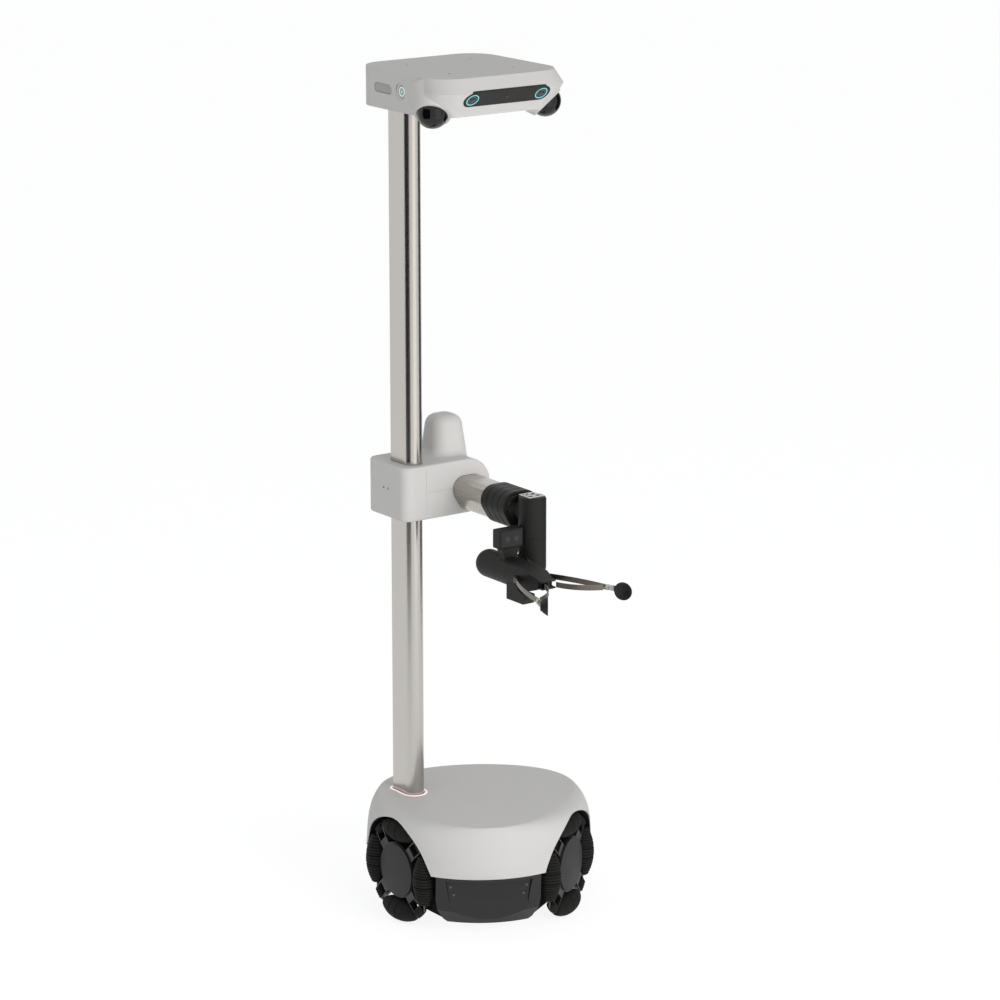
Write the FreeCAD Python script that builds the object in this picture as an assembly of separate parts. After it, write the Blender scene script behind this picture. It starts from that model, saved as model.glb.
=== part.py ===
import FreeCAD, Part
import math
import os

# Mobile manipulator robot, in millimetres. Z is up and the robot faces -Y.
# A three-wheeled omnidirectional base carries an upright mast. A collar rides up and down the mast
# and holds a telescoping arm with a three-axis wrist and a bow-finger gripper. A sensor head closes
# the mast. Everything is modelled about the middle of the base on the floor, and moved at the end
# so that the origin is the middle of the footprint on the floor.

V = FreeCAD.Vector
X_AXIS = V(1, 0, 0)
Y_AXIS = V(0, 1, 0)
Z_AXIS = V(0, 0, 1)

# Gaps between pieces
SEAT = 0.3
RUN = 0.05
SLIDE_GAP = 0.35
PART_LINE = 0.3

# Wheels: 8 inch omni wheels with four long and four short rollers
WHEEL_R = 101.6
WHEEL_TRACK_R = 182.8
WHEEL_AZIMUTHS = {"right": -90.0, "left_front": 30.0, "left_rear": 150.0}
ROLLERS = 4
LONG_ROLLER_R = 22.5
LONG_ROLLER_HALF = 48.0
SHORT_ROLLER_R = 9.5
SHORT_ROLLER_HALF = 10.8
GROOVE_AT = 9.6
GROOVE_HALF = 1.3
GROOVE_DEPTH = 2.2
EAR_OFFSET = 12.2
EAR_THICK = 1.8
EAR_ROOT = 4.0
EAR_TIP_R = 97.0
EAR_TIP_HALF = 5.0
LUG_R = 68.0
PIN_R = 2.0
HUB_R = 54.0
HUB_HALF = 8.0
COVER_R = 52.0
COVER_EDGE = 3.0
COVER_CROWN = 2.5
AXLE_R = 8.0
AXLE_LENGTH = 36.0

# Base: the shell's plan is round at the skirt and turns three-lobed at the top, as
# mean radius + lobe * cos(3 * angle from a bumper's middle), for each height
SHELL_BULGE_R = 210.5
SHELL_TOP_Z = 216.0
SHELL_TOP_MEAN = SHELL_BULGE_R - 27.5
SHELL_TOP_LOBE = 16.0
SHOULDER_Z = 205.5
SHOULDER_MEAN = SHELL_BULGE_R - 8.5
SHOULDER_LOBE = 2.5
SHELL_BULGE_Z = 185.0
SHELL_SKIRT_Z = 120.0
SHELL_SKIRT_R = SHELL_BULGE_R + 6.5
SHELL_WALL = 3.0
SHELL_EDGE_R = 1.5
LOBE_STEP = 10
ARCH_R = 104.8
ARCH_TANGENT_Z = 150.0
WELL_WALL = 2.5
WELL_BACK_R = 157.5
PLATE_Z = 30.0
PLATE_THICK = 4.0
PLATE_R = 190.0
BUMPER_AZIMUTHS = (-30.0, 90.0, 210.0)
BUMPER_HALF = 99.5
BUMPER_WAIST_Z = 50.0
BUMPER_TUCK = 5.5
BUMPER_WAIST_R = SHELL_BULGE_R - BUMPER_TUCK
BUMPER_BOTTOM_Z = 24.0
BUMPER_BOTTOM_R = BUMPER_WAIST_R - 15.0
BUMPER_CORNER_R = 14.0
RECESS_R = BUMPER_WAIST_R - 14.5
RECESS_LIP_R = RECESS_R + 5.5
BUMPER_BACK_R = RECESS_R - 16.5
RECESS_TOP_Z = 113.0
RECESS_BEND_Z = 71.0
RECESS_BOTTOM_Z = 33.0
RECESS_HALF_TOP = 80.0
RECESS_HALF_BEND = 74.0
RECESS_HALF_BOTTOM = 80.0
RECESS_FLARE = 7.0
SCREW_R = 2.6
SCREW_HEAD = 1.4
SCREW_LENGTH = 3.5
SCREW_PLACES = ((72.0, 99.0), (66.0, 83.0))

# Drive inside the base
MOTOR_R = 26.0
MOTOR_OUTER_R = 150.4
MOTOR_INNER_R = 80.0
BRACKET_THICK = 4.0
BRACKET_HALF = 30.0
BATTERY_SIZE = (170.0, 140.0, 38.0)
BATTERY_CENTRE = (10.0, -28.0)
COMPUTER_SIZE = (150.0, 130.0, 45.0)
COMPUTER_CENTRE = (10.0, -25.0)

# Mast: a D-shaped tube, round side to the front
MAST_X = -96.4
MAST_ARC_Y = 79.7
MAST_R = 19.0
MAST_REAR_Y = 126.2
MAST_CORNER_R = 4.0
MAST_WALL = 2.5
MAST_BOTTOM_Z = 62.0
MAST_TOP_Z = 1598.0
MAST_SLOT_HALF = 4.0
FOOT_WALL = 4.0
FOOT_TOP_Z = 140.0
LIGHT_GAP = 3.5
LIGHT_WIDTH = 2.5
LIGHT_HEIGHT = 1.2

# Lift drive: a toothed belt inside the mast
PULLEY_R = 10.0
PULLEY_HALF = 6.0
PULLEY_Y = 106.2
PULLEY_SHAFT_R = 3.0
DRIVE_PULLEY_Z = 92.0
IDLER_DROP = 32.0
IDLER_PULLEY_Z = MAST_TOP_Z - IDLER_DROP
BELT_THICK = 1.6
BELT_HALF = 4.5
LIFT_MOTOR_R = 20.0
LIFT_MOTOR_LENGTH = 52.0
LIFT_DOWN = 430.0
LIFT_UP = 580.0

# Collar: the housing that rides on the mast and holds the arm
COLLAR_LEFT_X = -136.4
COLLAR_FRONT_Y = 44.2
COLLAR_REAR_Y = 175.2
COLLAR_BOTTOM_Z = 763.5
COLLAR_TOP_Z = 868.0
COLLAR_CORNER_R = 20.0
COLLAR_EDGE_R = 5.0
COLLAR_WALL = 3.0
COLLAR_SEAM_X = -88.4
ARM_X = 7.6
HUMP_HALF = 43.0
HUMP_TOP_HALF = 31.0
HUMP_Y = 126.2
HUMP_TOP_Z = 941.0
HUMP_CORNER_R = 27.0
HUMP_TOP_R = 22.0
HUMP_BASE_R = 15.0
ARM_MOTOR_R = 27.0
SLEEVE_WALL = 5.0
CLAMP_WALL = 3.2
SLEEVE_MARGIN = 12.0

# Arm: five nested tubes, each with a cap ring at its front end
ARM_SPREAD = 11.0
ARM_UPPER_Z = 813.0
ARM_LOWER_Z = 795.0
TUBE_R = 24.5
TUBE_STEP = 3.0
TUBE_WALL = 1.6
RING_R = 28.0
RING_PITCH = 18.5
RING_GAP = 0.3
RING_LIP = 4.0
RING_EDGE_R = 1.6
RING_FIRST_Y = -49.8
ARM_LINKS = 4
TUBE_REAR_Y = 163.2
TUBE_REAR_STEP = 5.0
ARM_STROKE = 125.0
NOSE_R = 21.0
NOSE_THICK = 4.5

# Wrist
WRIST_Y = -160.8
WRIST_R = 26.0
WRIST_TOP_Z = 839.5
WRIST_EDGE_R = 6.0
WRIST_NECK_R = 19.0
WRIST_NECK_Z = 806.0
YAW_SEAM_Z = 763.0
PITCH_BOSS_R = 23.0
PITCH_Z = 706.0
TAG_SIDE = 33.0
TAG_THICK = 1.0
ROLL_X = -46.4
ROLL_R = 26.5
ROLL_SEAM_Y = -182.8
DOME_Y = -101.8
DOME_LENGTH = 24.0
CAMERA_WIDTH = 54.0
CAMERA_HEIGHT = 36.0
CAMERA_DEPTH = 25.0
CAMERA_FRONT_Y = -171.8
CAMERA_BOTTOM_Z = 750.0
CAMERA_EDGE_R = 3.0
WINDOW_MARGIN = 3.5
WINDOW_THICK = 1.5
STAND_HALF_TOP = 20.0
STAND_HALF_BOTTOM = 14.0

# Gripper
NOSE_Y = -286.8
NOSE_HALF_X = 15.0
NOSE_HALF_Z = 8.0
NOSE_LENGTH = 9.0
TAPER_START_Y = -212.8
SERVO_LEFT = 24.0
SERVO_RIGHT = 1.0
SERVO_BOTTOM = 44.5
SERVO_LENGTH = 56.0
SERVO_LIP = 20.0
PIVOT_SCREW_R = 4.0
PIVOT_SCREW_Y = -211.8
BAND_HEIGHT = 10.0
BAND_THICK = 1.6
OUTER_ROOT_X = 29.5
OUTER_ROOT_Y = -222.8
OUTER_BOW = -6.0
INNER_ROOT_X = 12.0
INNER_ROOT_Y = -291.8
INNER_BOW = -12.0
ROOT_TRAVEL = 21.0
SLOT_INWARD = 9.0
SLOT_OUTWARD = 4.0
TIP_X = 78.0
TIP_Y = -359.8
HINGE_R = 3.2
HINGE_PIN_R = 1.6
CUP_X = 90.0
CUP_Y = -393.8
CUP_R = 17.0
CUP_DEPTH = 14.0
CUP_AIM = 54.0
CUP_WALL = 2.0
NECK_R = 5.0

# Head
HEAD_X = -8.4
HEAD_HALF_X = 140.0
HEAD_FRONT_Y = -92.8
HEAD_REAR_Y = 185.2
HEAD_TOP_Z = MAST_TOP_Z + 15.0
HEAD_HEIGHT = 72.0
HEAD_BOTTOM_Z = HEAD_TOP_Z - HEAD_HEIGHT
HEAD_CORNER_R = 55.0
HEAD_WALL = 3.0
BROW_Z = HEAD_TOP_Z - 25.0
BROW_OUT = 20.0
BROW_SIDE = 7.0
CHIN_Z = HEAD_BOTTOM_Z + 6.5
CHIN_IN = 11.0
DOME_X = 129.0
DOME_BASE_Y = -51.0
DOME_BASE_Z = HEAD_BOTTOM_Z + 4.4
DOME_R = 29.0
DOME_HEIGHT = 23.0
POD_R = 33.0
POD_ROOT_R = 50.0
POD_LENGTH = 46.0
EYE_Y = -102.4
EYE_Z = BROW_Z - 13.1
EYE_X = 76.3
EYE_TILT = 37.7
BAR_HALF = 95.0
BAR_HEIGHT = 35.0
BAR_THICK = 4.0
BAR_PROUD = 0.4
LENS_R = 9.0
EYE_RING_R = 12.8
EYE_RING_WIDTH = 1.8
BUTTON_Y = 32.2
BUTTON_Z = HEAD_TOP_Z - 34.0
BUTTON_WELL_R = 16.5
BUTTON_FACE = 2.0
BUTTON_R = 12.0
BUTTON_THICK = 4.0
BUTTON_TRAVEL = 1.5
SLOT_Y = 89.2
SLOT_LENGTH = 60.0
SLOT_HEIGHT = 18.0
SLOT_DEPTH = 3.0
INSERT_SPACING_X = 142.0
INSERT_SPACING_Y = 137.0
INSERT_CENTRE_Y = 46.2
INSERT_BORE_R = 2.1
INSERT_R = 4.0
INSERT_DEPTH = 8.0
TRAY_THICK = 3.0
TRAY_INSET = 8.0
TRAY_FRONT_Y = -9.8
CLAMP_HEIGHT = 40.0

PARTS = {}


def box(x0, x1, y0, y1, z0, z1):
    """A box between two corners."""
    return Part.makeBox(x1 - x0, y1 - y0, z1 - z0, V(x0, y0, z0))


def rod(radius, start, end):
    """A round bar from one point to another."""
    return Part.makeCylinder(radius, (end - start).Length, start, end - start)


def turned(points, centre, axis):
    """A solid of revolution from (radius, height) points along an axis through centre."""
    side = X_AXIS if abs(axis.x) < 0.9 else Y_AXIS
    out = axis.cross(side).normalize()
    ring = [centre + out * r + axis * h for r, h in points]
    wire = Part.makePolygon(ring + [ring[0]])
    return Part.Face(wire).revolve(centre, axis, 360)


def spun(shape, azimuth):
    """The shape turned about the upright axis; azimuth 0 faces the front, -Y."""
    copy = shape.copy()
    copy.rotate(V(0, 0, 0), Z_AXIS, azimuth)
    return copy


def mirrored(shape, x):
    """The shape mirrored across the plane X = x."""
    return shape.mirror(V(x, 0, 0), X_AXIS)


def prism(points, direction):
    """A flat outline of points pushed along a direction."""
    face = Part.Face(Part.makePolygon(points + [points[0]]))
    return face.extrude(direction)


def fillet(shape, radius, wanted):
    """The shape with the edges that the test picks rounded off."""
    edges = [edge for edge in shape.Edges if wanted(edge)]
    return shape.makeFillet(radius, edges)


def hull_wire(circles, place):
    """The outline round circles (x, y, radius), in order, as tangent arcs and lines.

    place turns a flat (x, y) point into a point in space.
    """
    edges = []
    count = len(circles)
    joints = []
    for i in range(count):
        x0, y0, r0 = circles[i]
        x1, y1, r1 = circles[(i + 1) % count]
        span = math.hypot(x1 - x0, y1 - y0)
        heading = math.atan2(y1 - y0, x1 - x0)
        lean = math.acos((r0 - r1) / span)
        angle = heading - lean
        joints.append(angle)
    for i in range(count):
        x0, y0, r0 = circles[i]
        x1, y1, r1 = circles[(i + 1) % count]
        arrive = joints[i - 1]
        leave = joints[i]
        while leave < arrive:
            leave += 2 * math.pi
        middle = (arrive + leave) / 2
        arc = [place(x0 + r0 * math.cos(a), y0 + r0 * math.sin(a)) for a in (arrive, middle, leave)]
        edges.append(Part.Arc(*arc).toShape())
        end = place(x1 + r1 * math.cos(joints[i]), y1 + r1 * math.sin(joints[i]))
        edges.append(Part.LineSegment(arc[2], end).toShape())
    return Part.Wire(edges)


def save(node, *solids):
    """Keep a node: one solid, or several separate ones."""
    PARTS[node] = solids[0] if len(solids) == 1 else Part.makeCompound(list(solids))


# Omni wheels


def roller(radius, half, pivot_r, bore, grooves):
    """A barrel roller under the wheel, whose outline lies on the wheel's own circle.

    Its axis runs along X at pivot_r below the wheel's centre, which is the origin here.
    """
    def rim(s):
        return math.sqrt(WHEEL_R ** 2 - s ** 2) - pivot_r

    def at(s, r):
        return V(s, 0, -pivot_r - r)

    stops = [-half]
    for place in grooves:
        stops += [place - GROOVE_HALF, place + GROOVE_HALF]
    stops.append(half)
    edges = [Part.LineSegment(at(-half, bore), at(-half, rim(-half))).toShape()]
    for i in range(0, len(stops), 2):
        a, b = stops[i], stops[i + 1]
        middle = (a + b) / 2
        edges.append(Part.Arc(at(a, rim(a)), at(middle, rim(middle)), at(b, rim(b))).toShape())
        if i + 2 < len(stops):
            c = stops[i + 2]
            low = rim((b + c) / 2) - GROOVE_DEPTH
            edges.append(Part.LineSegment(at(b, rim(b)), at((b + c) / 2, low)).toShape())
            edges.append(Part.LineSegment(at((b + c) / 2, low), at(c, rim(c))).toShape())
    edges.append(Part.LineSegment(at(half, rim(half)), at(half, bore)).toShape())
    edges.append(Part.LineSegment(at(half, bore), at(-half, bore)).toShape())
    return Part.Face(Part.Wire(edges)).revolve(V(0, 0, -pivot_r), X_AXIS, 360)


def around_wheel(shape, angle):
    """The shape turned about the wheel's axis, from the bottom of the wheel."""
    copy = shape.copy()
    copy.rotate(V(0, 0, 0), Y_AXIS, angle)
    return copy


def onto_base(shape, azimuth):
    """A wheel piece, modelled about the wheel's centre, at its place on the base."""
    copy = shape.copy()
    copy.translate(V(0, -WHEEL_TRACK_R, WHEEL_R))
    return spun(copy, azimuth)


def build_wheels():
    """Three wheels, each a hub with its ears, pins and axle, eight rollers and a hub cover."""
    long_pivot = WHEEL_R - LONG_ROLLER_R
    short_pivot = WHEEL_R - SHORT_ROLLER_R
    pitch = 360.0 / ROLLERS
    bore = PIN_R + RUN
    long_roller = roller(LONG_ROLLER_R, LONG_ROLLER_HALF, long_pivot, bore, (-GROOVE_AT, GROOVE_AT))
    short_roller = roller(SHORT_ROLLER_R, SHORT_ROLLER_HALF, short_pivot, bore, ())
    rollers = [around_wheel(long_roller, k * pitch) for k in range(ROLLERS)]
    rollers += [around_wheel(short_roller, (k + 0.5) * pitch) for k in range(ROLLERS)]

    hub = rod(HUB_R, V(0, -HUB_HALF, 0), V(0, HUB_HALF, 0))
    outline = [V(-EAR_THICK / 2, side * half, -r) for side, r, half in
               ((1, LUG_R - EAR_ROOT, HUB_HALF), (1, EAR_TIP_R, EAR_TIP_HALF),
                (-1, EAR_TIP_R, EAR_TIP_HALF), (-1, LUG_R - EAR_ROOT, HUB_HALF))]
    ear = prism(outline, X_AXIS * EAR_THICK)
    reach = EAR_OFFSET + EAR_THICK / 2
    lug = box(-reach, reach, -HUB_HALF, HUB_HALF, -LUG_R, -HUB_R + EAR_ROOT)
    half_pitch = math.radians(pitch / 2)
    long_reach = (long_pivot * math.sin(half_pitch) - EAR_OFFSET) / math.cos(half_pitch)
    long_pin = rod(PIN_R, V(-long_reach, 0, -long_pivot), V(long_reach, 0, -long_pivot))
    short_pin = rod(PIN_R, V(-reach, 0, -short_pivot), V(reach, 0, -short_pivot))
    pieces = []
    for k in range(ROLLERS):
        middle = (k + 0.5) * pitch
        for side in (-1, 1):
            shifted = ear.copy()
            shifted.translate(X_AXIS * side * EAR_OFFSET)
            pieces.append(around_wheel(shifted, middle))
        pieces += [around_wheel(lug, middle), around_wheel(long_pin, k * pitch), around_wheel(short_pin, middle)]
    axle = rod(AXLE_R, V(0, HUB_HALF - 1, 0), V(0, HUB_HALF + AXLE_LENGTH, 0))
    hub = hub.fuse(pieces + [axle])

    face = HUB_HALF + SEAT
    crown_z = face + COVER_EDGE + COVER_CROWN
    chord = COVER_R - 2
    dome_r = (chord ** 2 + COVER_CROWN ** 2) / (2 * COVER_CROWN)
    dome = Part.makeSphere(dome_r, V(0, -crown_z + dome_r, 0))
    cover = rod(COVER_R, V(0, -face, 0), V(0, -crown_z, 0)).common(dome)
    for name, azimuth in WHEEL_AZIMUTHS.items():
        save("wheel_hub_" + name, onto_base(hub, azimuth))
        save("wheel_rollers_" + name, *[onto_base(r, azimuth) for r in rollers])
        save("wheel_cover_" + name, onto_base(cover, azimuth))


# Base


def arch_room(radius, back_r):
    """The space round the wheel at azimuth 0: round over the wheel, with straight flared sides below."""
    rise = ARCH_TANGENT_Z - WHEEL_R
    angle = math.asin(rise / ARCH_R)
    side = radius * math.cos(angle)
    high = WHEEL_R + radius * math.sin(angle)
    flare = (high - SHELL_SKIRT_Z) * math.tan(angle)
    depth = -260.0
    top = Part.Arc(V(-side, depth, high), V(0, depth, WHEEL_R + radius), V(side, depth, high)).toShape()
    corners = [V(side, depth, high), V(side + flare, depth, SHELL_SKIRT_Z), V(side + flare, depth, 0),
               V(-side - flare, depth, 0), V(-side - flare, depth, SHELL_SKIRT_Z), V(-side, depth, high)]
    edges = [top] + [Part.LineSegment(corners[i], corners[i + 1]).toShape() for i in range(5)]
    return Part.Face(Part.Wire(edges)).extrude(V(0, -back_r - depth, 0))


def lobed_wire(mean, lobe, z):
    """A closed three-lobed curve at height z, furthest out over the middles of the bumpers."""
    points = []
    for k in range(0, 360, LOBE_STEP):
        a = math.radians(k)
        r = mean + lobe * math.cos(3 * (a - math.radians(BUMPER_AZIMUTHS[0])))
        points.append(V(r * math.sin(a), -r * math.cos(a), z))
    curve = Part.BSplineCurve()
    curve.interpolate(points, True)
    return Part.Wire(curve.toShape())


def shell_body(inset):
    """The shell's outer form, with its surface moved inwards by inset."""
    wires = [lobed_wire(SHELL_SKIRT_R - inset, 0, SHELL_SKIRT_Z - inset),
             lobed_wire(SHELL_BULGE_R - inset, 0, SHELL_BULGE_Z),
             lobed_wire(SHOULDER_MEAN - inset, SHOULDER_LOBE, SHOULDER_Z - inset),
             lobed_wire(SHELL_TOP_MEAN - inset, SHELL_TOP_LOBE, SHELL_TOP_Z - inset)]
    return Part.makeLoft(wires, True, False)


def d_face(grow, z):
    """The mast's D outline, grown outwards, as a flat face at height z."""
    r = MAST_R + grow
    corner = max(MAST_CORNER_R + grow, 0.5)
    side = r - corner
    rear = MAST_REAR_Y + grow - corner
    circles = [(MAST_X, MAST_ARC_Y, r), (MAST_X + side, rear, corner), (MAST_X - side, rear, corner)]
    return Part.Face(hull_wire(circles, lambda x, y: V(x, y, z)))


def d_bar(grow, z0, z1):
    """A solid bar with the mast's D outline, grown outwards."""
    return d_face(grow, z0).extrude(V(0, 0, z1 - z0))


def build_base_shell():
    """The white upper shell: round at the skirt, three-lobed at the top, with three wheel arches."""
    outer = shell_body(0)
    outer = fillet(outer, SHELL_EDGE_R, lambda e: e.BoundBox.ZMin > SHELL_TOP_Z - 0.1)
    inner = shell_body(SHELL_WALL)
    shell = outer.cut(inner)
    for azimuth in WHEEL_AZIMUTHS.values():
        shell = shell.cut(spun(arch_room(ARCH_R, WELL_BACK_R), azimuth))
    shell = shell.cut(d_bar(SLIDE_GAP, SHELL_TOP_Z - 20, SHELL_TOP_Z + 5))
    save("base_shell", max(shell.Solids, key=lambda solid: solid.Volume))
    return inner


def build_wells(inside):
    """Black liners round the wheels, from the shell's inner face to a back wall."""
    wells = []
    for azimuth in WHEEL_AZIMUTHS.values():
        outer = arch_room(ARCH_R + WELL_WALL, WELL_BACK_R - WELL_WALL)
        inner = arch_room(ARCH_R, WELL_BACK_R)
        liner = outer.cut(inner).common(box(-200, 200, -260, 0, SHELL_SKIRT_Z, 300))
        liner = liner.common(spun(inside, -azimuth))
        wall = outer.cut(box(-200, 200, -300, -WELL_BACK_R, -10, 400))
        wall = wall.common(box(-ARCH_R, ARCH_R, -300, 0, PLATE_Z, SHELL_SKIRT_Z + 1))
        well = liner.fuse(wall)
        well = well.cut(rod(AXLE_R + 3, V(0, -200, WHEEL_R), V(0, -100, WHEEL_R)))
        well = max(well.Solids, key=lambda solid: solid.Volume)
        wells.append(spun(well.removeSplitter(), azimuth))
    save("wheel_wells", *wells)


def build_bumpers():
    """Three black panels between the wheels, each with a scooped recess, and their screws."""
    top = SHELL_SKIRT_Z - PART_LINE
    outer = [(0, BUMPER_BOTTOM_Z), (BUMPER_BOTTOM_R, BUMPER_BOTTOM_Z), (BUMPER_WAIST_R, BUMPER_WAIST_Z),
             (SHELL_SKIRT_R - 1, top), (0, top)]
    panel = turned(outer, V(0, 0, 0), Z_AXIS)
    front = box(-BUMPER_HALF, BUMPER_HALF, -260, -BUMPER_BACK_R, BUMPER_BOTTOM_Z - 1, top + 1)
    front = fillet(front, BUMPER_CORNER_R, lambda e: e.BoundBox.YLength > 50 and e.CenterOfMass.z < top)
    panel = panel.common(front)
    for azimuth in WHEEL_AZIMUTHS.values():
        panel = panel.cut(spun(arch_room(ARCH_R, 0), azimuth - BUMPER_AZIMUTHS[0]))
    side_view = [V(-150, -RECESS_R, RECESS_TOP_Z), V(-150, -RECESS_R, RECESS_BEND_Z),
                 V(-150, -RECESS_LIP_R, RECESS_BOTTOM_Z), V(-150, -260, RECESS_BOTTOM_Z),
                 V(-150, -260, RECESS_TOP_Z)]
    scoop = prism(side_view, V(300, 0, 0))
    half = [(RECESS_HALF_TOP, RECESS_TOP_Z), (RECESS_HALF_BEND, RECESS_BEND_Z),
            (RECESS_HALF_BOTTOM, RECESS_BOTTOM_Z)]
    outlines = []
    for y, flare in ((-RECESS_R, 0.0), (-SHELL_SKIRT_R, RECESS_FLARE)):
        points = [V(x + flare, y, z) for x, z in half] + [V(-x - flare, y, z) for x, z in reversed(half)]
        outlines.append(Part.makePolygon(points + [points[0]]))
    panel = panel.cut(scoop.common(Part.makeLoft(outlines, True, True)))
    screws = []
    for x, z in SCREW_PLACES:
        for side in (-1, 1):
            seat = V(side * x, -RECESS_R, z)
            screw = rod(SCREW_R, seat - Y_AXIS * (SCREW_HEAD + RUN), seat - Y_AXIS * RUN)
            screws.append(screw.fuse(rod(SCREW_R / 2, seat - Y_AXIS * RUN, seat + Y_AXIS * SCREW_LENGTH)))
            panel = panel.cut(rod(SCREW_R / 2 + RUN, seat - Y_AXIS, seat + Y_AXIS * (SCREW_LENGTH + 0.2)))
    save("bumper_panels", *[spun(panel, a) for a in BUMPER_AZIMUTHS])
    save("bumper_screws", *[spun(screw, a) for a in BUMPER_AZIMUTHS for screw in screws])


def build_chassis():
    """The floor plate with three upright motor brackets, the motors, battery and computer."""
    plate = Part.makeCylinder(PLATE_R, PLATE_THICK, V(0, 0, PLATE_Z))
    for azimuth in BUMPER_AZIMUTHS:
        plate = plate.cut(spun(box(-200, 200, -300, -BUMPER_BACK_R + SEAT, 0, 100), azimuth))
    motors = []
    for azimuth in WHEEL_AZIMUTHS.values():
        plate = plate.cut(spun(box(-200, 200, -300, -WELL_BACK_R + WELL_WALL + SEAT, 0, 100), azimuth))
        face = MOTOR_OUTER_R + SEAT
        bracket = box(-BRACKET_HALF, BRACKET_HALF, -face - BRACKET_THICK, -face, PLATE_Z, WHEEL_R + BRACKET_HALF)
        bracket = bracket.cut(rod(AXLE_R + 3, V(0, -200, WHEEL_R), V(0, -100, WHEEL_R)))
        plate = plate.fuse(spun(bracket, azimuth))
        motor = rod(MOTOR_R, V(0, -MOTOR_OUTER_R, WHEEL_R), V(0, -MOTOR_INNER_R, WHEEL_R))
        axle_end = WHEEL_TRACK_R - HUB_HALF - AXLE_LENGTH
        motor = motor.cut(rod(AXLE_R + RUN, V(0, -MOTOR_OUTER_R - 1, WHEEL_R), V(0, -axle_end + SEAT, WHEEL_R)))
        motors.append(spun(motor, azimuth))
    save("chassis_plate", plate.removeSplitter())
    save("drive_motors", *motors)

    floor = PLATE_Z + PLATE_THICK + SEAT
    length, width, height = BATTERY_SIZE
    x, y = BATTERY_CENTRE
    battery = box(x - length / 2, x + length / 2, y - width / 2, y + width / 2, floor, floor + height)
    battery = fillet(battery, 5, lambda e: e.BoundBox.ZLength > height / 2)
    save("battery_pack", battery)
    length, width, height = COMPUTER_SIZE
    x, y = COMPUTER_CENTRE
    low = WHEEL_R + MOTOR_R + SEAT
    computer = box(x - length / 2, x + length / 2, y - width / 2, y + width / 2, low, low + height)
    fins = [box(x - length / 2 + 6 + k * 12, x - length / 2 + 9 + k * 12, y - width / 2, y + width / 2,
                low + height - 8, low + height + 1) for k in range(int(length / 12))]
    save("control_computer", computer.cut(Part.makeCompound(fins)))


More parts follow.
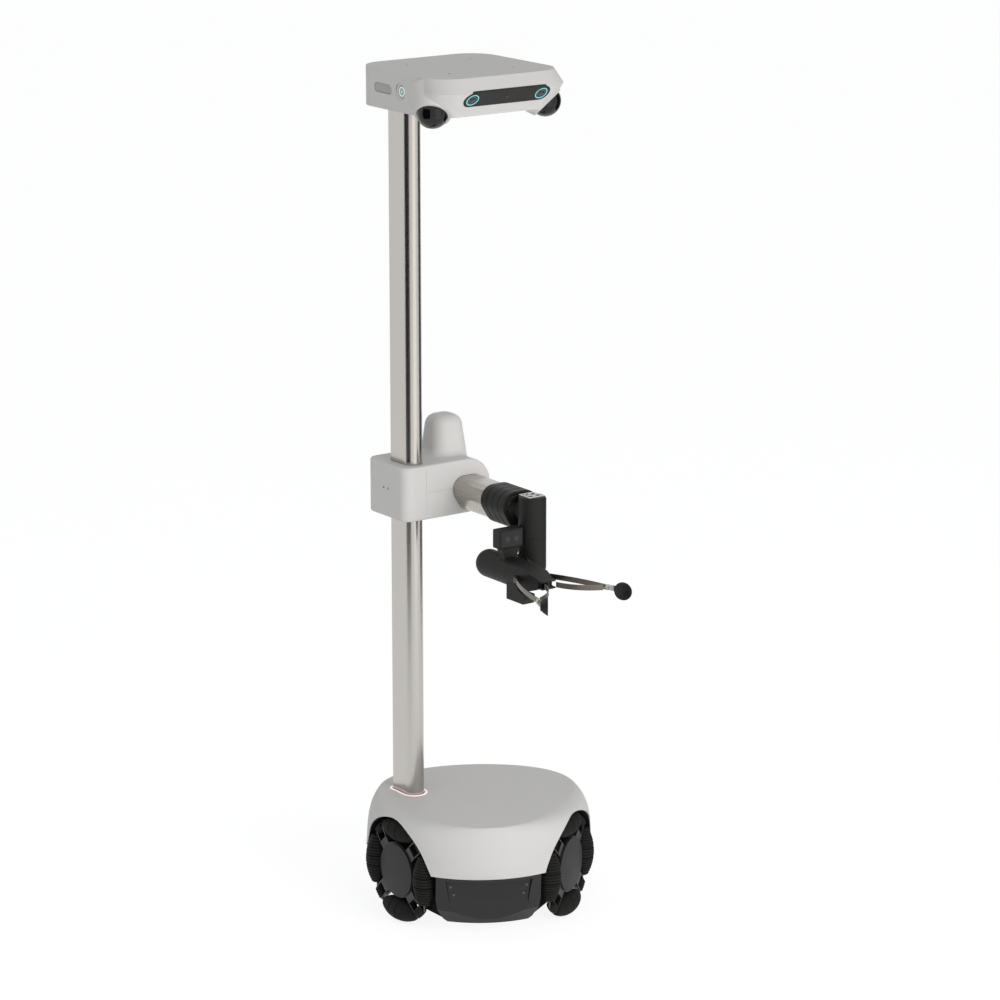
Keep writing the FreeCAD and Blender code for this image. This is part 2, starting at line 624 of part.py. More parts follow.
def build_mast():
    """The mast with its foot, light ring and the belt drive that lifts the collar."""
    mast = d_bar(0, MAST_BOTTOM_Z, MAST_TOP_Z).cut(d_bar(-MAST_WALL, MAST_BOTTOM_Z - 1, MAST_TOP_Z + 1))
    slot_low = COLLAR_BOTTOM_Z - LIFT_DOWN
    slot_high = COLLAR_TOP_Z + LIFT_UP
    slot = box(MAST_X - MAST_SLOT_HALF, MAST_X + MAST_SLOT_HALF, MAST_REAR_Y - MAST_WALL - 1,
               MAST_REAR_Y + 1, slot_low, slot_high)
    mast = mast.cut(slot)
    reach = MAST_R + FOOT_WALL
    for z in (DRIVE_PULLEY_Z, IDLER_PULLEY_Z):
        hole = rod(PULLEY_SHAFT_R + RUN, V(MAST_X - MAST_R - 1, PULLEY_Y, z), V(MAST_X + MAST_R + 1, PULLEY_Y, z))
        mast = mast.cut(hole)
    save("mast", mast)

    floor = PLATE_Z + PLATE_THICK + SEAT
    foot = d_bar(FOOT_WALL, MAST_BOTTOM_Z - 6, FOOT_TOP_Z)
    pedestal = box(MAST_X - 20, MAST_X + 20, MAST_ARC_Y - 18, MAST_REAR_Y - 15, floor, MAST_BOTTOM_Z - 5)
    foot = foot.fuse(pedestal).cut(d_bar(SEAT, MAST_BOTTOM_Z - SEAT, FOOT_TOP_Z + 1))
    foot = foot.cut(rod(PULLEY_SHAFT_R + 1, V(MAST_X, PULLEY_Y, DRIVE_PULLEY_Z),
                        V(MAST_X + reach + 1, PULLEY_Y, DRIVE_PULLEY_Z)))
    save("mast_foot", foot)

    ring = d_bar(LIGHT_GAP + LIGHT_WIDTH, SHELL_TOP_Z + SEAT, SHELL_TOP_Z + LIGHT_HEIGHT)
    ring = ring.cut(d_bar(LIGHT_GAP, SHELL_TOP_Z - 1, SHELL_TOP_Z + LIGHT_HEIGHT + 1))
    save("light_ring", ring)

    motor_start = MAST_X + reach + SEAT
    motor = rod(LIFT_MOTOR_R, V(motor_start, PULLEY_Y, DRIVE_PULLEY_Z),
                V(motor_start + LIFT_MOTOR_LENGTH, PULLEY_Y, DRIVE_PULLEY_Z))
    shaft_end = motor_start + 10
    motor = motor.cut(rod(PULLEY_SHAFT_R + RUN, V(motor_start - 1, PULLEY_Y, DRIVE_PULLEY_Z),
                          V(shaft_end + 1, PULLEY_Y, DRIVE_PULLEY_Z)))
    save("lift_motor", motor)

    for name, z, end in (("lift_drive_pulley", DRIVE_PULLEY_Z, shaft_end),
                         ("lift_idler_pulley", IDLER_PULLEY_Z, MAST_X + MAST_R)):
        wheel = rod(PULLEY_R, V(MAST_X - PULLEY_HALF, PULLEY_Y, z), V(MAST_X + PULLEY_HALF, PULLEY_Y, z))
        for side in (-1, 1):
            rim = rod(PULLEY_R + 1.2, V(MAST_X + side * PULLEY_HALF, PULLEY_Y, z),
                      V(MAST_X + side * (PULLEY_HALF + 1), PULLEY_Y, z))
            wheel = wheel.fuse(rim)
        shaft = rod(PULLEY_SHAFT_R, V(MAST_X - MAST_R, PULLEY_Y, z), V(end, PULLEY_Y, z))
        save(name, wheel.fuse(shaft))

    belt_r = PULLEY_R + RUN + 0.1

    def loop(radius, half):
        run = box(MAST_X - half, MAST_X + half, PULLEY_Y - radius, PULLEY_Y + radius,
                  DRIVE_PULLEY_Z, IDLER_PULLEY_Z)
        low = rod(radius, V(MAST_X - half, PULLEY_Y, DRIVE_PULLEY_Z), V(MAST_X + half, PULLEY_Y, DRIVE_PULLEY_Z))
        high = rod(radius, V(MAST_X - half, PULLEY_Y, IDLER_PULLEY_Z), V(MAST_X + half, PULLEY_Y, IDLER_PULLEY_Z))
        return run.fuse([low, high])

    save("lift_belt", loop(belt_r + BELT_THICK, BELT_HALF).cut(loop(belt_r, BELT_HALF + 1)))


# Collar and arm


def tri_face(radius, y):
    """The arm's section, a rounded triangle point down, as a flat face across the arm."""
    circles = [(ARM_X - ARM_SPREAD, ARM_UPPER_Z, radius), (ARM_X, ARM_LOWER_Z, radius),
               (ARM_X + ARM_SPREAD, ARM_UPPER_Z, radius)]
    return Part.Face(hull_wire(circles, lambda x, z: V(x, y, z)))


def tri_bar(radius, y0, y1):
    """A solid bar with the arm's section, from y0 to y1."""
    return tri_face(radius, min(y0, y1)).extrude(V(0, abs(y1 - y0), 0))


def collar_body(inset):
    """The collar's block and barrel, with its surface moved inwards by inset."""
    z0 = COLLAR_BOTTOM_Z + inset
    z1 = COLLAR_TOP_Z - inset
    y0 = COLLAR_FRONT_Y + inset
    y1 = COLLAR_REAR_Y - inset
    middle = (COLLAR_BOTTOM_Z + COLLAR_TOP_Z) / 2
    block = box(COLLAR_LEFT_X + inset, ARM_X, y0, y1, z0, z1)
    corner = COLLAR_CORNER_R - inset
    block = fillet(block, corner, lambda e: e.BoundBox.ZLength > 50 and e.CenterOfMass.x < COLLAR_LEFT_X + inset + 1)
    barrel = rod((z1 - z0) / 2, V(ARM_X, y0, middle), V(ARM_X, y1, middle))
    return block.fuse(barrel).removeSplitter()


def hump_body(inset):
    """The rounded hump over the arm motor, with its surface moved inwards by inset."""
    top = HUMP_TOP_Z - inset
    corner = HUMP_CORNER_R - inset
    wires = []
    for half, z in ((HUMP_HALF - inset, COLLAR_TOP_Z - 40), (HUMP_TOP_HALF - inset, top)):
        side = half - corner
        circles = [(side, -side, corner), (side, side, corner), (-side, side, corner), (-side, -side, corner)]
        wires.append(hull_wire(circles, lambda x, y: V(ARM_X + x, HUMP_Y + y, z)))
    hump = Part.makeLoft(wires, True, True)
    return fillet(hump, HUMP_TOP_R - inset, lambda e: e.BoundBox.ZMin > top - 0.1)


def build_collar():
    """The collar: a sliding frame on the mast, three cover shells, the arm motor and the outer tube."""
    outer = collar_body(0)
    outer = fillet(outer, COLLAR_EDGE_R, lambda e: e.BoundBox.YMax < COLLAR_FRONT_Y + 0.1
                   or e.BoundBox.YMin > COLLAR_REAR_Y - 0.1)
    outer = outer.fuse(hump_body(0))
    seam = [e for e in outer.Edges if COLLAR_TOP_Z - 30 < e.CenterOfMass.z < COLLAR_TOP_Z + 1
            and abs(e.CenterOfMass.x - ARM_X) < HUMP_HALF + 1
            and abs(e.CenterOfMass.y - HUMP_Y) < HUMP_HALF + 1
            and e.BoundBox.YMin > COLLAR_FRONT_Y + 20 and e.BoundBox.YMax < COLLAR_REAR_Y - 2]
    outer = outer.makeFillet(HUMP_BASE_R, seam) if HUMP_BASE_R > 0 else outer
    inner = collar_body(COLLAR_WALL).fuse(hump_body(COLLAR_WALL))
    shell = outer.cut(inner)
    shell = shell.cut(d_bar(SLIDE_GAP + 0.5, COLLAR_BOTTOM_Z - 1, COLLAR_TOP_Z + 1))
    shell = shell.cut(tri_bar(TUBE_R + SEAT, COLLAR_FRONT_Y - 1, COLLAR_FRONT_Y + 10))
    middle = (COLLAR_BOTTOM_Z + COLLAR_TOP_Z) / 2
    big = 400
    left = shell.common(box(-big, COLLAR_SEAM_X - PART_LINE / 2, -big, big, 0, 2000))
    right = shell.common(box(COLLAR_SEAM_X + PART_LINE / 2, big, -big, big, 0, 2000))
    upper = right.common(box(-big, big, -big, big, middle + PART_LINE / 2, 2000))
    lower = right.common(box(-big, big, -big, big, 0, middle - PART_LINE / 2))
    save("collar_mast_cover", left)
    save("collar_upper_cover", upper)
    save("collar_lower_cover", lower)

    low = COLLAR_BOTTOM_Z + SLEEVE_MARGIN
    high = COLLAR_TOP_Z - SLEEVE_MARGIN
    sleeve = d_bar(SLIDE_GAP + SLEEVE_WALL, low, high)
    clamp = tri_bar(TUBE_R + SEAT + CLAMP_WALL, COLLAR_FRONT_Y + 20, COLLAR_REAR_Y - 20)
    web_low = middle - 26
    web = box(MAST_X + MAST_R, ARM_X - ARM_SPREAD - TUBE_R + 6, COLLAR_FRONT_Y + 30, COLLAR_REAR_Y - 45,
              web_low, middle + 16)
    frame = sleeve.fuse([web, clamp])
    frame = frame.cut(d_bar(SLIDE_GAP, low - 1, high + 1))
    frame = frame.cut(tri_bar(TUBE_R + SEAT, COLLAR_FRONT_Y, COLLAR_REAR_Y))
    belt_face = PULLEY_Y + PULLEY_R + RUN + 0.1 + BELT_THICK
    finger = box(MAST_X - MAST_SLOT_HALF + 1, MAST_X + MAST_SLOT_HALF - 1, belt_face + SEAT,
                 MAST_REAR_Y + SLIDE_GAP + 2, middle - 15, middle + 15)
    save("carriage_frame", frame.fuse(finger).removeSplitter())

    seat_z = ARM_UPPER_Z + TUBE_R + SEAT + CLAMP_WALL + SEAT
    motor = rod(ARM_MOTOR_R, V(ARM_X, HUMP_Y, seat_z), V(ARM_X, HUMP_Y, HUMP_TOP_Z - HUMP_TOP_R))
    save("arm_motor", motor)

    tube = tri_bar(TUBE_R, RING_FIRST_Y - RING_PITCH + RING_GAP + RING_LIP, TUBE_REAR_Y)
    save("arm_tube", tube.cut(tri_bar(TUBE_R - TUBE_WALL, -200, 300)))


def build_arm():
    """The cap rings and the four sliding links; the last link ends in a closed nose."""
    for k in range(ARM_LINKS):
        back = RING_FIRST_Y - k * RING_PITCH
        front = back - RING_PITCH + RING_GAP
        tube_r = TUBE_R - k * TUBE_STEP
        next_r = tube_r - TUBE_STEP
        ring = tri_bar(RING_R, front, back)
        ring = fillet(ring, RING_EDGE_R, lambda e: e.BoundBox.YLength < 0.01)
        ring = ring.cut(tri_bar(tube_r + RING_GAP / 2, front + RING_LIP, back + 1))
        ring = ring.cut(tri_bar(next_r + SLIDE_GAP, front - 1, back + 1))
        save("arm_ring_%d" % k, ring)
    for k in range(1, ARM_LINKS + 1):
        radius = TUBE_R - k * TUBE_STEP
        rear = TUBE_REAR_Y - k * TUBE_REAR_STEP
        front = RING_FIRST_Y - (k + 1) * RING_PITCH + RING_GAP + RING_LIP
        if k < ARM_LINKS:
            link = tri_bar(radius, front, rear).cut(tri_bar(radius - TUBE_WALL, front - 1, rear + 1))
        else:
            nose_back = RING_FIRST_Y - ARM_LINKS * RING_PITCH
            nose = tri_bar(NOSE_R, nose_back - NOSE_THICK, nose_back)
            link = tri_bar(radius, nose_back - 1, rear).cut(tri_bar(radius - TUBE_WALL, nose_back, rear + 1))
            link = link.fuse(nose)
        save("arm_link_%d" % k, link)


# Wrist


def build_wrist():
    """The fixed yaw housing, the elbow that turns below it, the pitch body and its camera."""
    nose_front = RING_FIRST_Y - ARM_LINKS * RING_PITCH - NOSE_THICK
    back = nose_front - RING_GAP
    height = WRIST_TOP_Z - YAW_SEAM_Z - SEAT
    seam = YAW_SEAM_Z + SEAT
    housing = Part.makeCylinder(WRIST_R, height, V(ARM_X, WRIST_Y, seam))
    housing = fillet(housing, WRIST_EDGE_R, lambda e: e.BoundBox.ZMin > WRIST_TOP_Z - 0.1)
    neck = rod(WRIST_NECK_R, V(ARM_X, WRIST_Y, WRIST_NECK_Z), V(ARM_X, back, WRIST_NECK_Z))
    save("wrist_housing", housing.fuse(neck).removeSplitter())
    tag_y = WRIST_Y + 3
    half = TAG_SIDE / 2
    top = WRIST_TOP_Z + RUN
    save("marker_tag", box(ARM_X - half, ARM_X + half, tag_y - half, tag_y + half, top, top + TAG_THICK))

    elbow_end = ROLL_X + ROLL_R + 2 + SEAT
    elbow = Part.makeCylinder(WRIST_R, YAW_SEAM_Z - PITCH_Z, V(ARM_X, WRIST_Y, PITCH_Z))
    elbow = elbow.fuse(Part.makeSphere(WRIST_R, V(ARM_X, WRIST_Y, PITCH_Z)))
    elbow = elbow.fuse(rod(WRIST_R, V(ARM_X, WRIST_Y, PITCH_Z), V(elbow_end, WRIST_Y, PITCH_Z)))
    elbow = elbow.common(box(elbow_end, WRIST_R * 4, WRIST_Y - WRIST_R * 2, 0, PITCH_Z - WRIST_R * 2, WRIST_TOP_Z))
    save("wrist_elbow", elbow.removeSplitter())

    roll_back = ROLL_SEAM_Y + SEAT
    body = rod(ROLL_R, V(ROLL_X, DOME_Y, PITCH_Z), V(ROLL_X, roll_back, PITCH_Z))
    dome = Part.makeSphere(ROLL_R, V(ROLL_X, DOME_Y, PITCH_Z))
    body = body.fuse(dome)
    boss = rod(PITCH_BOSS_R, V(ROLL_X, WRIST_Y, PITCH_Z), V(elbow_end - SEAT, WRIST_Y, PITCH_Z))
    body = body.fuse(boss.common(box(-200, 200, roll_back, 0, 600, 800)))
    camera_back = CAMERA_FRONT_Y + CAMERA_DEPTH
    stand = [V(ROLL_X - STAND_HALF_BOTTOM, 0, PITCH_Z), V(ROLL_X + STAND_HALF_BOTTOM, 0, PITCH_Z),
             V(ROLL_X + STAND_HALF_BOTTOM, 0, PITCH_Z + ROLL_R), V(ROLL_X + STAND_HALF_TOP, 0, CAMERA_BOTTOM_Z - SEAT),
             V(ROLL_X - STAND_HALF_TOP, 0, CAMERA_BOTTOM_Z - SEAT), V(ROLL_X - STAND_HALF_BOTTOM, 0, PITCH_Z + ROLL_R)]
    stand = [V(p.x, CAMERA_FRONT_Y + 4, p.z) for p in stand]
    body = body.fuse(prism(stand, V(0, CAMERA_DEPTH - 8, 0)))
    save("pitch_body", body.removeSplitter())

    x0 = ROLL_X - CAMERA_WIDTH / 2
    x1 = x0 + CAMERA_WIDTH
    z1 = CAMERA_BOTTOM_Z + CAMERA_HEIGHT
    camera = box(x0, x1, CAMERA_FRONT_Y, camera_back, CAMERA_BOTTOM_Z, z1)
    camera = camera.makeFillet(CAMERA_EDGE_R, camera.Edges)
    m = WINDOW_MARGIN
    camera = camera.cut(box(x0 + m, x1 - m, CAMERA_FRONT_Y - 1, CAMERA_FRONT_Y + WINDOW_THICK,
                            CAMERA_BOTTOM_Z + m, z1 - m))
    save("wrist_camera", camera)
    g = m + RUN
    save("camera_window", box(x0 + g, x1 - g, CAMERA_FRONT_Y + 0.5, CAMERA_FRONT_Y + WINDOW_THICK - RUN,
                              CAMERA_BOTTOM_Z + g, z1 - g))


# Gripper


def bowed_band(x0, y0, x1, y1, bow):
    """A thin upright metal band between two points, bowed sideways; X counts from the roll axis."""
    start = V(ROLL_X + x0, y0, 0)
    end = V(ROLL_X + x1, y1, 0)
    side = (end - start).cross(Z_AXIS).normalize()
    middle = (start + end) * 0.5 + side * bow
    inner = Part.Arc(start, middle, end).toShape()
    centre = inner.Curve.Center
    radius = inner.Curve.Radius
    sign = 1 if (middle - centre).dot(side) > 0 else -1
    corners = []
    for point in (start, middle, end):
        out = (point - centre).normalize()
        corners.append(centre + out * (radius + sign * BAND_THICK))
    outer = Part.Arc(*corners).toShape()
    edges = [inner, Part.LineSegment(end, corners[2]).toShape(), outer,
             Part.LineSegment(corners[0], start).toShape()]
    face = Part.Face(Part.Wire(Part.__sortEdges__(edges)))
    face.translate(V(0, 0, PITCH_Z - BAND_HEIGHT / 2))
    return face.extrude(V(0, 0, BAND_HEIGHT))


def build_gripper():
    """The gripper body with its servo, and on each side two bands and a rubber cup."""
    front = ROLL_SEAM_Y
    body = rod(ROLL_R, V(ROLL_X, front, PITCH_Z), V(ROLL_X, NOSE_Y, PITCH_Z))
    knee = NOSE_Y + NOSE_LENGTH
    mid_y = (TAPER_START_Y + knee) / 2
    for half_small, across in ((NOSE_HALF_X, True), (NOSE_HALF_Z, False)):
        def at(y, half):
            if across:
                return V(ROLL_X + half, y, 0)
            return V(0, y, PITCH_Z + half)
        swell = (ROLL_R + half_small) / 2 + 1.5
        edges = [Part.LineSegment(at(front, -ROLL_R), at(front, ROLL_R)).toShape(),
                 Part.LineSegment(at(front, ROLL_R), at(TAPER_START_Y, ROLL_R)).toShape(),
                 Part.Arc(at(TAPER_START_Y, ROLL_R), at(mid_y, swell), at(knee, half_small)).toShape(),
                 Part.LineSegment(at(knee, half_small), at(NOSE_Y, half_small)).toShape(),
                 Part.LineSegment(at(NOSE_Y, half_small), at(NOSE_Y, -half_small)).toShape(),
                 Part.LineSegment(at(NOSE_Y, -half_small), at(knee, -half_small)).toShape(),
                 Part.Arc(at(knee, -half_small), at(mid_y, -swell), at(TAPER_START_Y, -ROLL_R)).toShape(),
                 Part.LineSegment(at(TAPER_START_Y, -ROLL_R), at(front, -ROLL_R)).toShape()]
        face = Part.Face(Part.Wire(edges))
        face.translate(V(0, 0, 500) if across else V(-200, 0, 0))
        body = body.common(face.extrude(V(0, 0, 500) if across else V(400, 0, 0)))
    slot_low = PITCH_Z - BAND_HEIGHT / 2 - SEAT
    slot_high = PITCH_Z + BAND_HEIGHT / 2 + SEAT
    for side in (-1, 1):
        a = ROLL_X + side * (INNER_ROOT_X - SLOT_INWARD)
        b = ROLL_X + side * (INNER_ROOT_X + SLOT_OUTWARD)
        body = body.cut(box(min(a, b), max(a, b), NOSE_Y - 1, INNER_ROOT_Y + ROOT_TRAVEL, slot_low, slot_high))
        root = V(ROLL_X + side * OUTER_ROOT_X, OUTER_ROOT_Y, PITCH_Z)
        ear_x = sorted((ROLL_X + side * (ROLL_R - 10), root.x))
        for z0, z1 in ((slot_high, slot_high + 3), (slot_low - 3, slot_low)):
            ear = Part.makeCylinder(HINGE_R, z1 - z0, V(root.x, root.y, z0))
            ear = ear.fuse(box(ear_x[0], ear_x[1], root.y - HINGE_R, root.y + HINGE_R, z0, z1))
            body = body.fuse(ear)
        room = Part.makeCylinder(HINGE_R + 1, slot_high - slot_low, V(root.x, root.y, slot_low))
        body = body.cut(room)
        body = body.fuse(Part.makeCylinder(HINGE_PIN_R, slot_high - slot_low + 4, V(root.x, root.y, slot_low - 2)))
    save("gripper_body", body.removeSplitter())

    low = PITCH_Z - SERVO_BOTTOM
    back = WRIST_Y - WRIST_R - 2 * SEAT
    tip = front - SERVO_LENGTH
    side_view = [V(0, back, PITCH_Z - ROLL_R * 0.6), V(0, back, low), V(0, tip, low), V(0, tip - 4, low + SERVO_LIP * 0.5),
                 V(0, tip - 2, low + SERVO_LIP)]
    edges = [Part.LineSegment(side_view[i], side_view[i + 1]).toShape() for i in range(4)]
    top = V(0, PIVOT_SCREW_Y, PITCH_Z + 2)
    bend = V(0, (tip + PIVOT_SCREW_Y) / 2 + 3, (low + SERVO_LIP + PITCH_Z) / 2 - 6)
    edges.append(Part.Arc(side_view[4], bend, top).toShape())
    edges.append(Part.LineSegment(top, V(0, back, PITCH_Z + 2)).toShape())
    edges.append(Part.LineSegment(V(0, back, PITCH_Z + 2), side_view[0]).toShape())
    servo = Part.Face(Part.Wire(edges))
    servo.translate(V(ROLL_X - SERVO_LEFT, 0, 0))
    servo = servo.extrude(V(SERVO_LEFT + SERVO_RIGHT, 0, 0))
    room = rod(ROLL_R + SEAT, V(ROLL_X, front + 1, PITCH_Z), V(ROLL_X, NOSE_Y, PITCH_Z))
    servo = servo.cut(room)
    servo = max(servo.Solids, key=lambda s: s.Volume)
    save("gripper_servo", servo)

    z_low = PITCH_Z - BAND_HEIGHT / 2
    aim = math.radians(CUP_AIM)
    for name, side in (("left", 1), ("right", -1)):
        outer = bowed_band(OUTER_ROOT_X, OUTER_ROOT_Y, TIP_X, TIP_Y, OUTER_BOW)
        barrel = Part.makeCylinder(HINGE_R, BAND_HEIGHT, V(ROLL_X + OUTER_ROOT_X, OUTER_ROOT_Y, z_low))
        outer = outer.fuse(barrel)
        outer = outer.cut(Part.makeCylinder(HINGE_PIN_R + RUN, BAND_HEIGHT, V(ROLL_X + OUTER_ROOT_X, OUTER_ROOT_Y, z_low)))
        tip_pin = V(ROLL_X + TIP_X, TIP_Y, z_low)
        knuckle = BAND_HEIGHT / 3
        for level in (0, 2):
            outer = outer.fuse(Part.makeCylinder(HINGE_R, knuckle, tip_pin + Z_AXIS * (level * knuckle)))
        normal = V(-math.sin(aim), -math.cos(aim), 0)
        cup_centre = V(ROLL_X + CUP_X, CUP_Y, PITCH_Z)
        neck_end = cup_centre - normal * (CUP_DEPTH / 2 + SEAT)
        neck = rod(NECK_R, V(ROLL_X + TIP_X, TIP_Y, PITCH_Z), neck_end + normal * NECK_R)
        neck = neck.cut(Part.makeCylinder(CUP_R * 2, CUP_DEPTH * 2, neck_end, normal))
        neck = neck.common(box(-400, 400, -600, 0, z_low, z_low + BAND_HEIGHT))
        outer = outer.fuse(neck)
        room = Part.makeCylinder(HINGE_R + 1.5, knuckle + 2 * SEAT, tip_pin + Z_AXIS * (knuckle - SEAT))
        outer = outer.cut(room)
        outer = outer.fuse(Part.makeCylinder(HINGE_PIN_R, BAND_HEIGHT, tip_pin))
        inner = bowed_band(TIP_X, TIP_Y, INNER_ROOT_X, INNER_ROOT_Y, INNER_BOW)
        for level in (0, 2):
            start = tip_pin + Z_AXIS * (level * knuckle - SEAT)
            inner = inner.cut(Part.makeCylinder(HINGE_R + 5, knuckle + 2 * SEAT, start))
        eye = Part.makeCylinder(HINGE_R, knuckle - 2 * SEAT, tip_pin + Z_AXIS * (knuckle + SEAT))
        inner = inner.fuse(eye)
        inner = inner.cut(Part.makeCylinder(HINGE_PIN_R + RUN, BAND_HEIGHT, tip_pin))
        inner = max(inner.Solids, key=lambda s: s.Volume)
        cup = turned([(0, -CUP_DEPTH / 2), (7, -CUP_DEPTH / 2), (CUP_R - 2, CUP_DEPTH / 2 - 4),
                      (CUP_R, CUP_DEPTH / 2), (CUP_R - CUP_WALL, CUP_DEPTH / 2), (6, 1), (0, 0)],
                     cup_centre, normal)
        for node, shape in (("finger_outer_band_", outer), ("finger_inner_band_", inner), ("fingertip_cup_", cup)):
            shape = shape if side == 1 else mirrored(shape, ROLL_X)
            save(node + name, shape)


# Head


def round_rect(front_x, rear_x, y0, y1, corner, z):
    """A plan outline with round corners at height z, with half widths at its front and its rear."""
    circles = [(front_x - corner, y0 + corner, corner), (rear_x - corner, y1 - corner, corner),
               (corner - rear_x, y1 - corner, corner), (corner - front_x, y0 + corner, corner)]
    return hull_wire(circles, lambda x, y: V(HEAD_X + x, y, z))


def head_loft(inset):
    """The head's body, with its surface moved inwards by inset."""
    corner = HEAD_CORNER_R - inset
    levels = [(HEAD_TOP_Z - inset, 0, 0), (BROW_Z, BROW_OUT, BROW_SIDE), (CHIN_Z, -CHIN_IN, 0),
              (HEAD_BOTTOM_Z + inset, -CHIN_IN - 4, 0)]
    wires = []
    for z, out, side in levels:
        x = HEAD_HALF_X - inset
        wires.append(round_rect(x + side, x, HEAD_FRONT_Y - out + inset, HEAD_REAR_Y - inset, corner, z))
    return Part.makeLoft(wires, True, True)


def tray_wire(inset, z):
    """The outline of the opening under the head, at height z."""
    x = HEAD_HALF_X - inset
    return round_rect(x, x, TRAY_FRONT_Y + inset, HEAD_REAR_Y - inset, HEAD_CORNER_R - inset, z)


def build_head():
    """The head: a shell with two dome pods, a floor tray, an eye bar, lenses, light rings and button."""
    down = V(0, 0, -1)
    outer = head_loft(0)
    inner = head_loft(HEAD_WALL)
    pods = []
    cuts = []
    domes = []
    for side in (-1, 1):
        normal = V(side * 0.5, -0.5, -math.sqrt(0.5))
        base = V(HEAD_X + side * DOME_X, DOME_BASE_Y, DOME_BASE_Z)
        pod = Part.makeCone(POD_R, POD_ROOT_R, POD_LENGTH, base, normal * -1)
        pods.append(pod)
        cuts.append(Part.makeCylinder(120, 80, base, normal))
        cap_r = (DOME_R ** 2 + DOME_HEIGHT ** 2) / (2 * DOME_HEIGHT)
        start = base + normal * SEAT
        ball = Part.makeSphere(cap_r, start + normal * (DOME_HEIGHT - cap_r))
        domes.append(ball.common(Part.makeCylinder(DOME_R, DOME_HEIGHT + 5, start, normal)))
    outer = outer.fuse(pods)
    for cut in cuts:
        outer = outer.cut(cut)
    for cut in cuts:
        wall = cut.copy()
        normal = (cut.BoundBox.Center - V(HEAD_X, 0, HEAD_TOP_Z)).normalize()
        wall.translate(normal * -HEAD_WALL)
        inner = inner.cut(wall)
    shell = outer.removeSplitter().cut(inner)
    shell = shell.cut(Part.Face(tray_wire(TRAY_INSET, HEAD_BOTTOM_Z - 1)).extrude(V(0, 0, HEAD_WALL + 2)))
    tilt = math.radians(EYE_TILT)
    out = V(0, -math.cos(tilt), -math.sin(tilt))
    up = V(0, -math.sin(tilt), math.cos(tilt))

    def on_eye(x, h, depth):
        return V(HEAD_X + x, EYE_Y, EYE_Z) + up * h + out * depth

    def bar(half, height, d0, d1):
        r = height / 2
        circles = [(-half + r, 0, r), (half - r, 0, r)]
        wire = hull_wire(circles, lambda x, h: on_eye(x, h, d0))
        return Part.Face(wire).extrude(out * (d1 - d0))

    glass = bar(BAR_HALF, BAR_HEIGHT, -BAR_THICK, BAR_PROUD)
    shell = shell.cut(bar(BAR_HALF + SEAT, BAR_HEIGHT + 2 * SEAT, -BAR_THICK - 12, 6))
    lenses = []
    rings = []
    for side in (-1, 1):
        centre = on_eye(side * EYE_X, 0, 0)
        rings.append(rod(EYE_RING_R, centre, centre + out * (BAR_PROUD + 0.6))
                     .cut(rod(EYE_RING_R - EYE_RING_WIDTH, centre - out, centre + out * 4)))
        glass = glass.cut(rod(EYE_RING_R + RUN, centre - out * RUN, centre + out * 3)
                          .cut(rod(EYE_RING_R - EYE_RING_WIDTH - RUN, centre - out, centre + out * 4)))
        lenses.append(rod(LENS_R, centre - out * (BAR_THICK + 0.2), centre - out * (BAR_THICK + 14)))
    save("eye_bar", glass)
    save("eye_rings", *rings)
    save("eye_cameras", *lenses)
    save("scanner_domes", *domes)

    left = HEAD_X - HEAD_HALF_X
    middle = V(left, BUTTON_Y, BUTTON_Z)
    floor_x = BUTTON_FACE + BUTTON_THICK + BUTTON_TRAVEL + SEAT
    shell = shell.fuse(rod(BUTTON_WELL_R, middle + X_AXIS * 1, middle + X_AXIS * (floor_x + 2)))
    dish = [(0, -8), (BUTTON_WELL_R + 2, -8), (BUTTON_WELL_R, 0), (BUTTON_R + 1, BUTTON_FACE), (0, BUTTON_FACE)]
    shell = shell.cut(turned(dish, middle, X_AXIS))
    shell = shell.cut(rod(BUTTON_R + SEAT, middle - X_AXIS, middle + X_AXIS * floor_x))
    start = middle + X_AXIS * BUTTON_FACE
    save("power_button", rod(BUTTON_R, start, start + X_AXIS * BUTTON_THICK))
    y0 = SLOT_Y - SLOT_LENGTH / 2 + SLOT_HEIGHT / 2
    circles = [(y0, BUTTON_Z, SLOT_HEIGHT / 2), (y0 + SLOT_LENGTH - SLOT_HEIGHT, BUTTON_Z, SLOT_HEIGHT / 2)]
    slot = Part.Face(hull_wire(circles, lambda y, z: V(left - 9, y, z))).extrude(V(9 + SLOT_DEPTH, 0, 0))
    backing = Part.Face(hull_wire([(y, z, r + 2) for y, z, r in circles],
                                  lambda y, z: V(left + 1, y, z))).extrude(V(SLOT_DEPTH + 1, 0, 0))
    shell = shell.fuse(backing).cut(slot)
    inserts = []
    for x in (-INSERT_SPACING_X / 2, INSERT_SPACING_X / 2):
        for y in (INSERT_CENTRE_Y - INSERT_SPACING_Y / 2, INSERT_CENTRE_Y + INSERT_SPACING_Y / 2):
            top = V(HEAD_X + x, y, HEAD_TOP_Z)
            shell = shell.cut(rod(INSERT_R + RUN, top + Z_AXIS, top - Z_AXIS * INSERT_DEPTH))
            insert = rod(INSERT_R, top - Z_AXIS * SEAT, top - Z_AXIS * INSERT_DEPTH)
            inserts.append(insert.cut(rod(INSERT_BORE_R, top + Z_AXIS, top - Z_AXIS * (INSERT_DEPTH + 1))))
    save("head_inserts", *inserts)
    save("head_shell", shell.removeSplitter())

    tray = Part.Face(tray_wire(TRAY_INSET + SEAT, HEAD_BOTTOM_Z)).extrude(V(0, 0, TRAY_THICK))
    tray = tray.fuse(d_bar(SEAT + SLEEVE_WALL, HEAD_BOTTOM_Z, HEAD_BOTTOM_Z + CLAMP_HEIGHT))
    save("head_tray", tray.cut(d_bar(SEAT, HEAD_BOTTOM_Z - 1, HEAD_TOP_Z)))


